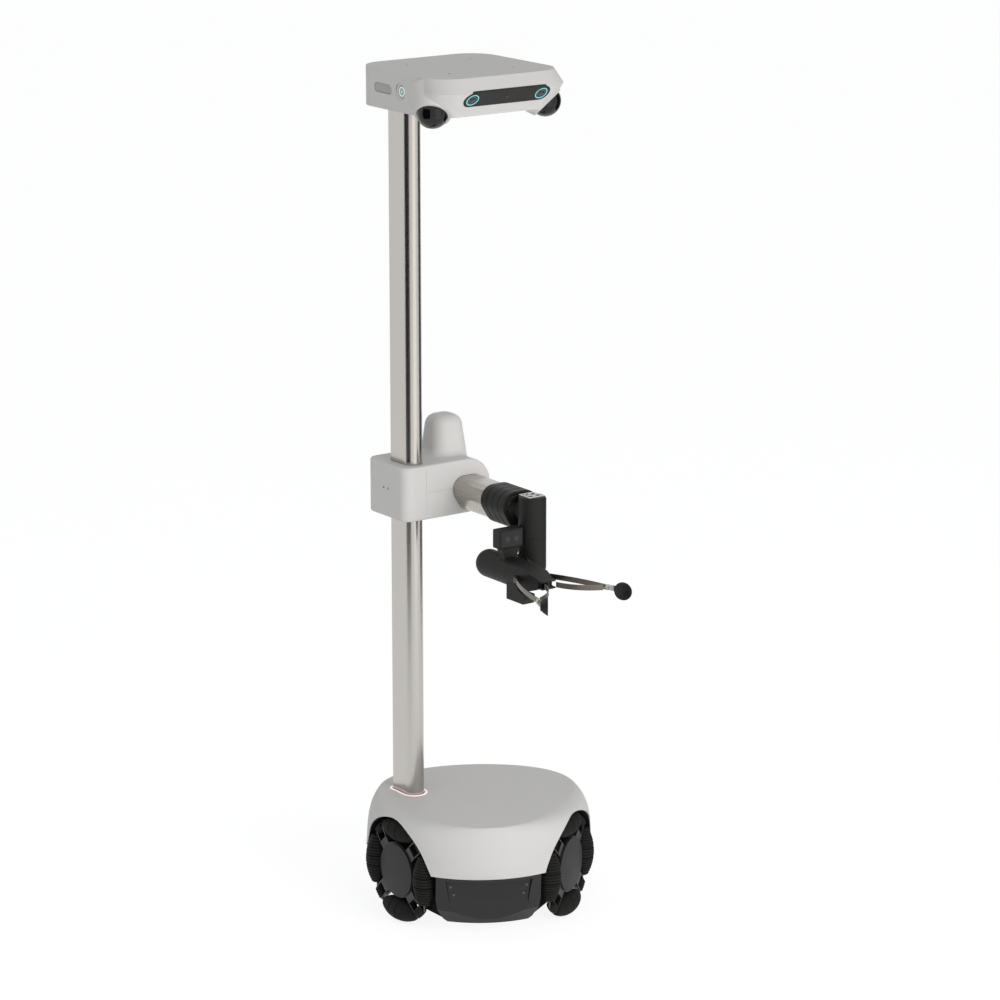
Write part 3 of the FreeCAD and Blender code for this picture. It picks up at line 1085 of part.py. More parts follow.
def finish():
    """Move everything so that the origin is the middle of the footprint on the floor, and write it."""
    whole = Part.makeCompound(list(PARTS.values()))
    bounds = whole.optimalBoundingBox(False)
    shift = V(-(bounds.XMin + bounds.XMax) / 2, -(bounds.YMin + bounds.YMax) / 2, -bounds.ZMin)
    os.makedirs("parts", exist_ok=True)
    for node, shape in PARTS.items():
        shape.translate(shift)
        shape.exportStep("parts/%s.step" % node)
    print("base centre at", shift.x, shift.y, shift.z)
    print(len(PARTS), "nodes")


build_wheels()
build_wells(build_base_shell())
build_bumpers()
build_chassis()
build_mast()
build_collar()
build_arm()
build_wrist()
build_gripper()
build_head()
finish()
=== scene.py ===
import logging
import math
from dataclasses import dataclass, field
from enum import Enum

import bmesh
import bpy
import numpy as np
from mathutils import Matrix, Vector


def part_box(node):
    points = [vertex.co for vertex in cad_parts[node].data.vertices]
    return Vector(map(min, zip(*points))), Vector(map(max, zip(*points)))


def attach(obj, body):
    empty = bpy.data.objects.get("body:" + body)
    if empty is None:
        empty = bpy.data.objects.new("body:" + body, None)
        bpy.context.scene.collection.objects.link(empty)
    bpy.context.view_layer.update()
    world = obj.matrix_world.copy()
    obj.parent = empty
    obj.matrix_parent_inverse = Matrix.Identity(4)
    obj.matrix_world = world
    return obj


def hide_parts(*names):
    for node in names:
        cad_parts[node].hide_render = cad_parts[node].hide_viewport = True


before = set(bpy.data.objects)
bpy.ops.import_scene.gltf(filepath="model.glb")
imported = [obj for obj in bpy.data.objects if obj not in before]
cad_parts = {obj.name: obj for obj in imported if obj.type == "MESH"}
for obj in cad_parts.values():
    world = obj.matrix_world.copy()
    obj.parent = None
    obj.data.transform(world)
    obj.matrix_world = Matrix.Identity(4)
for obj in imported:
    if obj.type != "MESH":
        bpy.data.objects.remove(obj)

# Looks of the mobile manipulator robot: a finish for every solid, and the small pieces that are only seen.
# Lengths are metres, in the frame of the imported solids: Z up, the robot facing -Y.

LOG = logging.getLogger("robot")
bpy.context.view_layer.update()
Z_UP = np.array([0.0, 0.0, 1.0])

# Cells for each metre of the patterns that all the finishes share.
MOTTLE_CELLS = 9.0
SMUDGE_CELLS = 23.0

# Outlines of the lenses, from the middle of the front round to the back: share of the radius, and height.
WRIST_LENS = np.array([[0.0, 0.0003], [0.3, 0.00028], [0.5, 0.0002], [0.55, 0.00005], [0.8, 0.00005],
                       [0.85, 0.0003], [1.0, 0.0003], [1.0, -0.0002], [0.0, -0.0002]])
EYE_LENS = np.array([[0.0, 0.0016], [0.3, 0.0014], [0.52, 0.0007], [0.6, 0.0001], [0.8, 0.0003],
                     [0.86, 0.0006], [1.0, 0.0006], [1.0, -0.0006], [0.0, -0.0006]])


def tone(red: int, green: int, blue: int) -> tuple[float, float, float, float]:
    """A linear colour from display values of 0 to 255.

    Args:
        red, green, blue: the display values.

    Returns:
        The colour with full alpha; each channel is ((c + 0.055) / 1.055) ** 2.4 above the toe.
    """
    channels = np.array([red, green, blue]) / 255.0
    linear = np.where(channels <= 0.04045, channels / 12.92, ((channels + 0.055) / 1.055) ** 2.4)
    return (*linear.tolist(), 1.0)


# Surfaces


def surface(name: str, points: np.ndarray, close_v: bool = True, crease: float = 35.0) -> bpy.types.Object:
    """A mesh over a grid of points.

    Args:
        name: the object's name.
        points: an array of rows by columns by 3.
        close_v: whether the last column joins the first.
        crease: edges that turn by more than this many degrees stay sharp.

    Returns:
        The object, with doubled points merged and faces pointing outwards.
    """
    rows, cols = points.shape[:2]
    index = np.arange(rows * cols).reshape(rows, cols)
    right = np.roll(index, -1, axis=1) if close_v else index[:, 1:]
    left = index if close_v else index[:, :-1]
    quads = np.stack([left[:-1], right[:-1], right[1:], left[1:]], axis=-1).reshape(-1, 4)
    mesh = bpy.data.meshes.new(name)
    mesh.from_pydata(points.reshape(-1, 3).tolist(), [], quads.tolist())
    sheet = bmesh.new()
    sheet.from_mesh(mesh)
    bmesh.ops.remove_doubles(sheet, verts=sheet.verts, dist=1e-7)
    bmesh.ops.recalc_face_normals(sheet, faces=sheet.faces)
    sheet.to_mesh(mesh)
    sheet.free()
    mesh.shade_smooth()
    mesh.set_sharp_from_angle(angle=math.radians(crease))
    piece = bpy.data.objects.new(name, mesh)
    bpy.context.scene.collection.objects.link(piece)
    return piece


def joined(name: str, pieces: list[bpy.types.Object]) -> bpy.types.Object:
    """Several objects made one.

    Args:
        name: the name of the result.
        pieces: the objects, which are used up.

    Returns:
        One object with all their faces.
    """
    bpy.ops.object.select_all(action="DESELECT")
    for piece in pieces:
        piece.select_set(True)
    bpy.context.view_layer.objects.active = pieces[0]
    bpy.ops.object.join()
    pieces[0].name = name
    pieces[0].data.name = name
    return pieces[0]


def across(axis: np.ndarray) -> tuple[np.ndarray, np.ndarray]:
    """Two unit directions square to an axis and to each other.

    Args:
        axis: a unit direction.

    Returns:
        The two directions.
    """
    helper = Z_UP if abs(axis[2]) < 0.9 else np.array([1.0, 0.0, 0.0])
    first = np.cross(helper, axis)
    first /= np.linalg.norm(first)
    return first, np.cross(axis, first)


def lathe(profile: np.ndarray, centre: np.ndarray, axis: np.ndarray, steps: int = 48) -> np.ndarray:
    """A profile turned about an axis: point = centre + axis * h + (u cos a + v sin a) * r.

    Args:
        profile: rows of (radius, height).
        centre: a point on the axis.
        axis: the axis, a unit direction.
        steps: the number of columns round the axis.

    Returns:
        A grid of points, one row for each profile row.
    """
    first, second = across(axis)
    angle = np.linspace(0.0, 2.0 * math.pi, steps, endpoint=False)
    ring = np.outer(np.cos(angle), first) + np.outer(np.sin(angle), second)
    radius, height = profile[:, 0], profile[:, 1]
    return centre + height[:, None, None] * axis + radius[:, None, None] * ring[None, :, :]


def stadium(half: float, radius: float, steps: int = 48) -> np.ndarray:
    """A flat outline of two half circles and two straight sides.

    Args:
        half: half of the outline's length.
        radius: the radius of its ends.
        steps: the number of points.

    Returns:
        Rows of (x, y): radius * (cos a, sin a), moved out by half - radius on its own side.
    """
    angle = np.linspace(0.0, 2.0 * math.pi, steps, endpoint=False) + math.pi / steps
    side = np.sign(np.cos(angle))
    return np.stack([radius * np.cos(angle) + side * (half - radius), radius * np.sin(angle)], axis=-1)


def centre_of(node: str) -> np.ndarray:
    """The middle of a solid's box.

    Args:
        node: the solid's name.

    Returns:
        The point.
    """
    low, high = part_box(node)
    return (np.array(low) + np.array(high)) / 2.0


# Finishes


class Sheet:
    """One material, with short calls that lay out its shader nodes."""

    def __init__(self, name: str) -> None:
        """Start a material with one shader.

        Args:
            name: the material's name.
        """
        self.material = bpy.data.materials.new(name)
        self.material.use_nodes = True
        self.tree = self.material.node_tree
        self.shader = self.tree.nodes["Principled BSDF"]

    def add(self, kind: str, **values: object) -> bpy.types.Node:
        """A new node.

        Args:
            kind: the node's type.
            values: its own settings.

        Returns:
            The node.
        """
        node = self.tree.nodes.new(kind)
        for key, value in values.items():
            setattr(node, key, value)
        return node

    def wire(self, source: bpy.types.NodeSocket, target: bpy.types.NodeSocket) -> None:
        """Join two sockets."""
        self.tree.links.new(source, target)

    def fix(self, **values: object) -> None:
        """Set the shader's own sockets, with underscores for spaces in their names."""
        for key, value in values.items():
            self.shader.inputs[key.replace("_", " ")].default_value = value

    def place(self, scale: tuple = (1.0, 1.0, 1.0), turn: tuple = (0.0, 0.0, 0.0),
              shift: tuple = (0.0, 0.0, 0.0)) -> bpy.types.NodeSocket:
        """Object coordinates, moved, turned and scaled.

        Args:
            scale: the scale along each axis.
            turn: the turn about each axis, in radians.
            shift: the move before the turn.

        Returns:
            The vector's socket.
        """
        source = self.add("ShaderNodeTexCoord")
        moved = self.add("ShaderNodeVectorMath", operation="SUBTRACT")
        moved.inputs[1].default_value = shift
        turned = self.add("ShaderNodeMapping")
        turned.inputs["Rotation"].default_value = turn
        turned.inputs["Scale"].default_value = scale
        self.wire(source.outputs["Object"], moved.inputs[0])
        self.wire(moved.outputs[0], turned.inputs["Vector"])
        return turned.outputs[0]

    def noise(self, vector: bpy.types.NodeSocket, scale: float, detail: float = 3.0) -> bpy.types.NodeSocket:
        """A noise pattern.

        Args:
            vector: where to read it.
            scale: cells for each metre.
            detail: the number of octaves.

        Returns:
            A value of 0 to 1.
        """
        node = self.add("ShaderNodeTexNoise")
        node.inputs["Scale"].default_value = scale
        node.inputs["Detail"].default_value = detail
        self.wire(vector, node.inputs["Vector"])
        return node.outputs["Fac"]

    def sum(self, kind: str, first: object, second: object = 0.0) -> bpy.types.NodeSocket:
        """A value worked out from one or two others.

        Args:
            kind: the operation.
            first, second: sockets or numbers.

        Returns:
            The result's socket.
        """
        node = self.add("ShaderNodeMath", operation=kind)
        for slot, value in zip(node.inputs, (first, second)):
            if isinstance(value, bpy.types.NodeSocket):
                self.wire(value, slot)
            else:
                slot.default_value = value
        return node.outputs[0]

    def range(self, value: bpy.types.NodeSocket, low: float, high: float) -> bpy.types.NodeSocket:
        """A value of 0 to 1 spread between two numbers.

        Args:
            value: the value's socket.
            low, high: what 0 and 1 become.

        Returns:
            The result's socket.
        """
        node = self.add("ShaderNodeMapRange")
        node.inputs["To Min"].default_value = low
        node.inputs["To Max"].default_value = high
        self.wire(value, node.inputs["Value"])
        return node.outputs[0]

    def mix(self, share: bpy.types.NodeSocket, first: object, second: object) -> bpy.types.NodeSocket:
        """A colour between two.

        Args:
            share: the share of the second.
            first, second: colours or sockets.

        Returns:
            The colour's socket.
        """
        node = self.add("ShaderNodeMix", data_type="RGBA")
        self.wire(share, node.inputs["Factor"])
        for slot, value in ((node.inputs[6], first), (node.inputs[7], second)):
            if isinstance(value, bpy.types.NodeSocket):
                self.wire(value, slot)
            else:
                slot.default_value = value
        return node.outputs[2]

    def bump(self, height: bpy.types.NodeSocket, depth: float, strength: float = 1.0) -> None:
        """Raise the surface by a height of 0 to 1 times depth.

        Args:
            height: the height's socket.
            depth: the depth in metres.
            strength: how much of it shows.
        """
        node = self.add("ShaderNodeBump")
        node.inputs["Distance"].default_value = depth
        node.inputs["Strength"].default_value = strength
        self.wire(height, node.inputs["Height"])
        self.wire(node.outputs[0], self.shader.inputs["Normal"])

    def mottle(self, colour: tuple, amount: float, scale: float) -> bpy.types.NodeSocket:
        """A colour that wanders a little lighter and darker over the surface.

        Args:
            colour: the middle colour.
            amount: the share by which it wanders.
            scale: cells for each metre.

        Returns:
            The colour's socket.
        """
        dark = tuple(c * (1 - amount) for c in colour[:3]) + (1.0,)
        light = tuple(min(c * (1 + amount), 1.0) for c in colour[:3]) + (1.0,)
        return self.mix(self.noise(self.place(), scale), dark, light)


@dataclass(frozen=True)
class Finish:
    """A finish with a plain colour that wanders a little, and a fine grain."""

    name: str
    colour: tuple
    rough: float = 0.5
    grain: float = 1400.0
    depth: float = 0.00002
    wander: float = 0.03
    metal: float = 0.0
    specular: float = 0.5
    smudge: float = 0.05

    def base(self, sheet: Sheet) -> None:
        """Lay out what all the finishes share.

        Args:
            sheet: the material in the making.
        """
        sheet.fix(Metallic=self.metal, Specular_IOR_Level=self.specular)
        sheet.wire(sheet.mottle(self.colour, self.wander, MOTTLE_CELLS), sheet.shader.inputs["Base Color"])
        patches = sheet.noise(sheet.place(), SMUDGE_CELLS)
        rough = sheet.range(patches, self.rough - self.smudge, self.rough + self.smudge)
        sheet.wire(rough, sheet.shader.inputs["Roughness"])

    def make(self) -> bpy.types.Material:
        """The finish as a material."""
        sheet = Sheet(self.name)
        self.base(sheet)
        sheet.bump(sheet.noise(sheet.place(), self.grain, 2.0), self.depth)
        return sheet.material


@dataclass(frozen=True)
class BrushedMetal(Finish):
    """Metal with fine scratches along one direction."""

    along: tuple = (0.0, 0.0, 1.0)
    streak: float = 0.07
    gloss_spread: float = 0.07
    cells_across: float = 900.0
    cells_along: float = 6.0

    def scratches(self, sheet: Sheet) -> None:
        """Lay out the scratches: noise stretched along them sets colour, gloss and bump.

        Args:
            sheet: the material in the making.
        """
        self.base(sheet)
        stretch = self.cells_across - self.cells_along
        scale = tuple(self.cells_across - stretch * abs(part) for part in self.along)
        lines = sheet.noise(sheet.place(scale), 1.0, 4.0)
        dark = tuple(c * (1 - self.streak) for c in self.colour[:3]) + (1.0,)
        light = tuple(min(c * (1 + self.streak), 1.0) for c in self.colour[:3]) + (1.0,)
        sheet.wire(sheet.mix(lines, dark, light), sheet.shader.inputs["Base Color"])
        rough = sheet.range(lines, self.rough - self.gloss_spread, self.rough + self.gloss_spread)
        sheet.wire(rough, sheet.shader.inputs["Roughness"])
        sheet.bump(lines, self.depth)

    def make(self) -> bpy.types.Material:
        """The finish as a material."""
        sheet = Sheet(self.name)
        self.scratches(sheet)
        return sheet.material


@dataclass(frozen=True)
class GlossBlack(Finish):
    """Polished dark plastic or glass under a clear coat."""

    gloss: float = 0.3
    gloss_rough: float = 0.04
    ripples: float = 40.0

    def make(self) -> bpy.types.Material:
        """The finish as a material."""
        sheet = Sheet(self.name)
        self.base(sheet)
        sheet.fix(Coat_Weight=self.gloss, Coat_Roughness=self.gloss_rough)
        sheet.bump(sheet.noise(sheet.place(), self.ripples, 1.0), self.depth)
        return sheet.material


@dataclass(frozen=True)
class Glow(Finish):
    """A lit ring."""

    power: float = 0.8
    uneven: float = 0.06
    uneven_cells: float = 120.0

    def make(self) -> bpy.types.Material:
        """The finish as a material: the same colour shines, a little uneven along the ring."""
        sheet = Sheet(self.name)
        self.base(sheet)
        shine = sheet.mottle(self.colour, self.uneven, self.uneven_cells)
        sheet.wire(shine, sheet.shader.inputs["Emission Color"])
        sheet.fix(Emission_Strength=self.power)
        return sheet.material


@dataclass(frozen=True)
class TurnedFace(Finish):
    """A round face with faint rings about its axis."""

    centre: tuple = (0.0, 0.0, 0.0)
    azimuth: float = 0.0
    ring_rate: float = 5200.0
    ring_share: float = 0.25

    def radius(self, sheet: Sheet) -> bpy.types.NodeSocket:
        """The distance from the axis: sqrt(x ** 2 + z ** 2), with x along the face and z up.

        Args:
            sheet: the material in the making.

        Returns:
            The distance's socket.
        """
        spot = sheet.place(turn=(0.0, 0.0, -self.azimuth), shift=self.centre)
        parts = sheet.add("ShaderNodeSeparateXYZ")
        sheet.wire(spot, parts.inputs[0])
        sideways = sheet.sum("MULTIPLY", parts.outputs[0], parts.outputs[0])
        upwards = sheet.sum("MULTIPLY", parts.outputs[2], parts.outputs[2])
        return sheet.sum("SQRT", sheet.sum("ADD", sideways, upwards))

    def make(self) -> bpy.types.Material:
        """The finish as a material: the distance from the axis sets fine rings of bump."""
        sheet = Sheet(self.name)
        self.base(sheet)
        rings = sheet.sum("SINE", sheet.sum("MULTIPLY", self.radius(sheet), self.ring_rate))
        grain = sheet.noise(sheet.place(), self.grain, 2.0)
        sheet.bump(sheet.sum("ADD", sheet.sum("MULTIPLY", rings, self.ring_share), grain), self.depth)
        return sheet.material


@dataclass(frozen=True)
class HubCasting(TurnedFace):
    """A dark hub whose thin ears are bare bright metal."""

    bare_from: float = 0.072
    bare: tuple = tone(92, 92, 90)

    def make(self) -> bpy.types.Material:
        """The finish as a material: past a distance from the axis the metal is bare."""
        sheet = Sheet(self.name)
        self.base(sheet)
        share = sheet.sum("GREATER_THAN", self.radius(sheet), self.bare_from)
        sheet.wire(sheet.mix(share, self.colour, self.bare), sheet.shader.inputs["Base Color"])
        sheet.wire(share, sheet.shader.inputs["Metallic"])
        sheet.bump(sheet.noise(sheet.place(), self.grain, 2.0), self.depth)
        return sheet.material


@dataclass(frozen=True)
class MarkerPrint(Finish):
    """Random black and white squares inside a white border."""

    centre: tuple = (0.0, 0.0, 0.0)
    side: float = 0.033
    cells: int = 8
    ink: tuple = tone(22, 22, 22)
    ink_above: float = 0.48

    def make(self) -> bpy.types.Material:
        """The finish as a material: each cell takes a random number, and is black above ink_above."""
        sheet = Sheet(self.name)
        self.base(sheet)
        spot = sheet.place(scale=(self.cells / self.side,) * 3, shift=self.centre)
        snapped = sheet.add("ShaderNodeVectorMath", operation="FLOOR")
        sheet.wire(spot, snapped.inputs[0])
        flat = sheet.add("ShaderNodeVectorMath", operation="MULTIPLY")
        flat.inputs[1].default_value = (1.0, 1.0, 0.0)
        sheet.wire(snapped.outputs[0], flat.inputs[0])
        random = sheet.add("ShaderNodeTexWhiteNoise", noise_dimensions="3D")
        sheet.wire(flat.outputs[0], random.inputs["Vector"])
        black = sheet.sum("GREATER_THAN", random.outputs["Value"], self.ink_above)
        parts = sheet.add("ShaderNodeSeparateXYZ")
        sheet.wire(spot, parts.inputs[0])
        inside = None
        for axis in (0, 1):
            near = sheet.sum("LESS_THAN", sheet.sum("ABSOLUTE", parts.outputs[axis]), self.cells / 2 - 1.0)
            inside = near if inside is None else sheet.sum("MULTIPLY", inside, near)
        share = sheet.sum("MULTIPLY", black, inside)
        sheet.wire(sheet.mix(share, self.colour, self.ink), sheet.shader.inputs["Base Color"])
        sheet.bump(sheet.noise(sheet.place(), self.grain, 2.0), self.depth)
        return sheet.material


@dataclass(frozen=True)
class BandSteel(BrushedMetal):
    """A steel band whose tip knuckle is pale moulded plastic."""

    tip: tuple = (0.0, 0.0, 0.0)
    reach: float = 0.009
    knuckle: tuple = tone(206, 206, 202)

    def make(self) -> bpy.types.Material:
        """The finish as a material: near the tip the colour turns pale and the metal ends."""
        sheet = Sheet(self.name)
        self.scratches(sheet)
        gap = sheet.add("ShaderNodeVectorMath", operation="LENGTH")
        sheet.wire(sheet.place(shift=self.tip), gap.inputs[0])
        far = sheet.sum("GREATER_THAN", gap.outputs["Value"], self.reach)
        # The band's steel tone, darkened with a painted dark reflection, is kept away from the knuckle.
        steel_and_painted_reflection = sheet.shader.inputs["Base Color"].links[0].from_socket
        sheet.wire(sheet.mix(far, self.knuckle, steel_and_painted_reflection), sheet.shader.inputs["Base Color"])
        sheet.wire(far, sheet.shader.inputs["Metallic"])
        return sheet.material


class Coat(Enum):
    """The finishes that several sub-assemblies share."""

    SHELL = Finish("shell_white", tone(218, 216, 213), rough=0.62, grain=900.0, depth=0.00003, wander=0.012,
                   specular=0.35)
    CHARCOAL = Finish("charcoal_plastic", tone(27, 26, 25), rough=0.52, grain=1600.0, depth=0.00004,
                      specular=0.28)
    PANEL = Finish("panel_plastic", tone(26, 26, 26), rough=0.36, grain=1200.0, depth=0.00002, specular=0.42)
    LINER = Finish("liner_plastic", tone(20, 20, 20), rough=0.75, specular=0.2)
    RUBBER = Finish("roller_rubber", tone(25, 24, 23), rough=0.7, grain=2200.0, depth=0.00005, wander=0.1,
                    specular=0.25)
    CUP = Finish("cup_rubber", tone(20, 20, 20), rough=0.6, grain=1800.0, depth=0.00003, wander=0.06,
                 specular=0.35)
    MAST = BrushedMetal("brushed_mast", tone(190, 187, 182), rough=0.23, metal=1.0, depth=0.00001)
    ARM = BrushedMetal("brushed_arm", tone(176, 172, 166), rough=0.27, metal=1.0, depth=0.00001,
                       along=(0.0, 1.0, 0.0))
    ALLOY = Finish("satin_alloy", tone(150, 150, 150), rough=0.42, metal=1.0)
    SCREW = Finish("screw_steel", tone(92, 90, 88), rough=0.32, metal=1.0, wander=0.08)
    BRASS = Finish("insert_brass", tone(178, 150, 96), rough=0.4, metal=1.0, wander=0.08)
    MOTOR = Finish("motor_black", tone(34, 34, 36), rough=0.45, wander=0.05)
    CELL = Finish("battery_case", tone(58, 60, 64), rough=0.6)
    BELT = Finish("belt_rubber", tone(24, 24, 24), rough=0.8, wander=0.08)
    GLASS = GlossBlack("gloss_black", tone(8, 8, 9), rough=0.09, depth=0.000002, wander=0.05, specular=0.25)
    BAR = Finish("bar_black", tone(27, 26, 25), rough=0.42, depth=0.000002, wander=0.05, specular=0.25)
    LENS = GlossBlack("lens_glass", tone(10, 16, 22), rough=0.07, depth=0.000002, wander=0.2)
    TEAL = Glow("eye_teal", tone(112, 186, 192), rough=0.4, power=0.62)
    CYAN = Glow("glow_cyan", tone(190, 232, 236), rough=0.4, power=0.75)
    PINK = Glow("glow_pink", tone(250, 226, 226), rough=0.4, power=0.6)
    RIB = Finish("speaker_ribs", tone(186, 187, 182), rough=0.6, wander=0.03)


MADE: dict[str, bpy.types.Material] = {}


def coat(piece: bpy.types.Object, finish: Finish) -> None:
    """Give a piece one finish.

    Args:
        piece: the object.
        finish: the finish, made once and shared.
    """
    if finish.name not in MADE:
        MADE[finish.name] = finish.make()
    piece.data.materials.clear()
    piece.data.materials.append(MADE[finish.name])


@dataclass
class Assembly:
    """A sub-assembly: the finishes of its solids, and the pieces that it adds."""

    coats: dict[str, Finish] = field(default_factory=dict)

    def dress(self) -> None:
        """Give every solid of the sub-assembly its finish."""
        for node, finish in self.coats.items():
            coat(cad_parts[node], finish)

    def build(self) -> list[bpy.types.Object]:
        """Make the pieces that the solids lack; this one adds none."""
        return []

    def keep(self, piece: bpy.types.Object, body: str, slot: str, finish: Finish) -> bpy.types.Object:
        """Put a new piece on its body.

        Args:
            piece: the object.
            body: the body that it rides on.
            slot: the name of a material slot; not used.
            finish: its finish.

        Returns:
            The same object.
        """
        coat(piece, finish)
        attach(piece, body)
        return piece


@dataclass
class Wheel(Assembly):
    """One omni wheel: beaded rollers in place of the plain ones, and a hub with bright ears."""

    name: str = "right"
    azimuth: float = -90.0
    radius: float = 0.1016
    long_r: float = 0.0225
    long_half: float = 0.048
    short_r: float = 0.0095
    short_half: float = 0.0108
    bore: float = 0.00205
    bead: float = 0.0055
    bead_depth: float = 0.0024
    slot_at: float = 0.0096
    slot_half: float = 0.0018
    slot_depth: float = 0.0042
    rollers: int = 8
    bead_points: int = 8
    steps: int = 28
    centre: np.ndarray = field(default_factory=lambda: np.zeros(3))

    def __post_init__(self) -> None:
        """Find the wheel's middle and name its finishes."""
        self.centre = centre_of("wheel_rollers_" + self.name)
        turn = math.radians(self.azimuth)
        spot = tuple(self.centre.tolist())
        hub = HubCasting("hub_casting_" + self.name, tone(28, 28, 28), rough=0.45, centre=spot, azimuth=turn)
        face = TurnedFace("cover_face_" + self.name, tone(36, 35, 34), rough=0.55, depth=0.00003, centre=spot,
                          azimuth=turn, specular=0.35)
        self.coats = {"wheel_hub_" + self.name: hub, "wheel_cover_" + self.name: face,
                      "wheel_rollers_" + self.name: Coat.RUBBER.value}

    def profile(self, radius: float, half: float, slots: bool) -> np.ndarray:
        """The outline of a beaded roller.

        Args:
            radius: the roller's radius at its middle.
            half: half of its length.
            slots: whether it has the two deep grooves.

        Returns:
            Rows of (radius, place): sqrt(wheel radius ** 2 - place ** 2) less the pivot radius, less a bead's
            depth * t ** 4, where t runs from -1 to 1 over each bead, and less the grooves.
        """
        beads = max(round(2 * half / self.bead), 3)
        place = np.linspace(-half, half, beads * self.bead_points + 1)
        phase = (place + half) / (2 * half) * beads
        across_bead = 2 * (phase - np.floor(phase)) - 1
        rim = np.sqrt(self.radius ** 2 - place ** 2) - (self.radius - radius)
        rim = rim - self.bead_depth * across_bead ** 4
        if slots:
            gap = np.abs(np.abs(place) - self.slot_at)
            rim = rim - self.slot_depth * np.clip(1.0 - gap / self.slot_half, 0.0, 1.0)
        body = np.stack([rim, place], axis=-1)
        ends = np.array([[self.bore, -half]]), np.array([[self.bore, half]])
        return np.concatenate([ends[0], body, ends[1], ends[0]])

    def build(self) -> list[bpy.types.Object]:
        """Make the eight beaded rollers as one piece that stands for the plain ones."""
        turn = math.radians(self.azimuth)
        tangent = np.array([math.cos(turn), math.sin(turn), 0.0])
        barrels = []
        for number in range(self.rollers):
            is_long = number % 2 == 0
            size = (self.long_r, self.long_half) if is_long else (self.short_r, self.short_half)
            angle = number * 2.0 * math.pi / self.rollers
            down = -Z_UP * math.cos(angle) - tangent * math.sin(angle)
            axis = tangent * math.cos(angle) - Z_UP * math.sin(angle)
            middle = self.centre + down * (self.radius - size[0])
            grid = lathe(self.profile(*size, is_long), middle, axis, self.steps)
            barrels.append(surface("roller", grid, crease=50.0))
        piece = joined("beaded_rollers_" + self.name, barrels)
        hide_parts("wheel_rollers_" + self.name)
        return [self.keep(piece, "wheel_" + self.name, "roller_rubber", Coat.RUBBER.value)]


@dataclass
class Base(Assembly):
    """The base with its shell, panels and inner parts."""

    def __post_init__(self) -> None:
        """Name the finishes."""
        self.coats = {"base_shell": Coat.SHELL.value, "bumper_panels": Coat.PANEL.value,
                      "bumper_screws": Coat.SCREW.value, "wheel_wells": Coat.LINER.value,
                      "chassis_plate": Coat.ALLOY.value, "battery_pack": Coat.CELL.value,
                      "control_computer": Coat.MOTOR.value, "drive_motors": Coat.MOTOR.value}


@dataclass
class Mast(Assembly):
    """The mast, its foot, the light ring and the lift drive."""

    def __post_init__(self) -> None:
        """Name the finishes."""
        self.coats = {"mast": Coat.MAST.value, "mast_foot": Coat.ALLOY.value, "light_ring": Coat.PINK.value,
                      "lift_motor": Coat.MOTOR.value, "lift_drive_pulley": Coat.ALLOY.value,
                      "lift_idler_pulley": Coat.ALLOY.value, "lift_belt": Coat.BELT.value}


@dataclass
class Collar(Assembly):
    """The collar that rides on the mast."""

    cap_r: float = 0.0021
    cap_gap: float = 0.014
    cap_rise: float = 0.004
    cap_depth: float = 0.0012
    crown: float = 0.0001
    crown_share: float = 0.8

    def __post_init__(self) -> None:
        """Name the finishes."""
        self.coats = {"collar_mast_cover": Coat.SHELL.value, "collar_upper_cover": Coat.SHELL.value,
                      "collar_lower_cover": Coat.SHELL.value, "carriage_frame": Coat.ALLOY.value,
                      "arm_motor": Coat.MOTOR.value}

    def build(self) -> list[bpy.types.Object]:
        """Make the two dark screw caps on the side of the collar."""
        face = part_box("collar_mast_cover")[0][0]
        middle = centre_of("collar_mast_cover")
        outline = np.array([[0.0, self.crown], [self.cap_r * self.crown_share, self.crown], [self.cap_r, 0.0],
                            [self.cap_r, -self.cap_depth], [0.0, -self.cap_depth]])
        caps = []
        for side in (-0.5, 0.5):
            spot = np.array([face, middle[1] + side * self.cap_gap, middle[2] + self.cap_rise])
            caps.append(surface("cap", lathe(outline, spot, np.array([-1.0, 0.0, 0.0]), 24)))
        piece = joined("collar_screw_caps", caps)
        return [self.keep(piece, "carriage", "fastener_steel", Coat.SCREW.value)]


@dataclass
class Arm(Assembly):
    """The telescoping arm."""

    links: int = 4

    def __post_init__(self) -> None:
        """Name the finishes."""
        self.coats = {"arm_tube": Coat.ARM.value}
        for number in range(self.links):
            self.coats["arm_ring_%d" % number] = Coat.CHARCOAL.value
            self.coats["arm_link_%d" % (number + 1)] = Coat.ARM.value


@dataclass
class Wrist(Assembly):
    """The wrist with its marker and camera."""

    lens_r: float = 0.0055
    lens_gap: float = 0.02

    def __post_init__(self) -> None:
        """Name the finishes."""
        spot = tuple(centre_of("marker_tag").tolist())
        marker = MarkerPrint("marker_print", tone(226, 226, 222), rough=0.5, depth=0.000005, centre=spot)
        self.coats = {"wrist_housing": Coat.CHARCOAL.value, "wrist_elbow": Coat.CHARCOAL.value,
                      "pitch_body": Coat.CHARCOAL.value, "wrist_camera": Coat.CHARCOAL.value,
                      "camera_window": Coat.GLASS.value, "marker_tag": marker}

    def build(self) -> list[bpy.types.Object]:
        """Make the two lenses behind the camera's window."""
        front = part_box("camera_window")[0][1]
        middle = centre_of("camera_window")
        outline = WRIST_LENS * np.array([self.lens_r, 1.0])
        lenses = []
        for side in (-0.5, 0.5):
            spot = np.array([middle[0] + side * self.lens_gap, front, middle[2]])
            lenses.append(surface("lens", lathe(outline, spot, np.array([0.0, -1.0, 0.0]), 32)))
        piece = joined("wrist_lenses", lenses)
        return [self.keep(piece, "pitch", "lens_glass", Coat.LENS.value)]


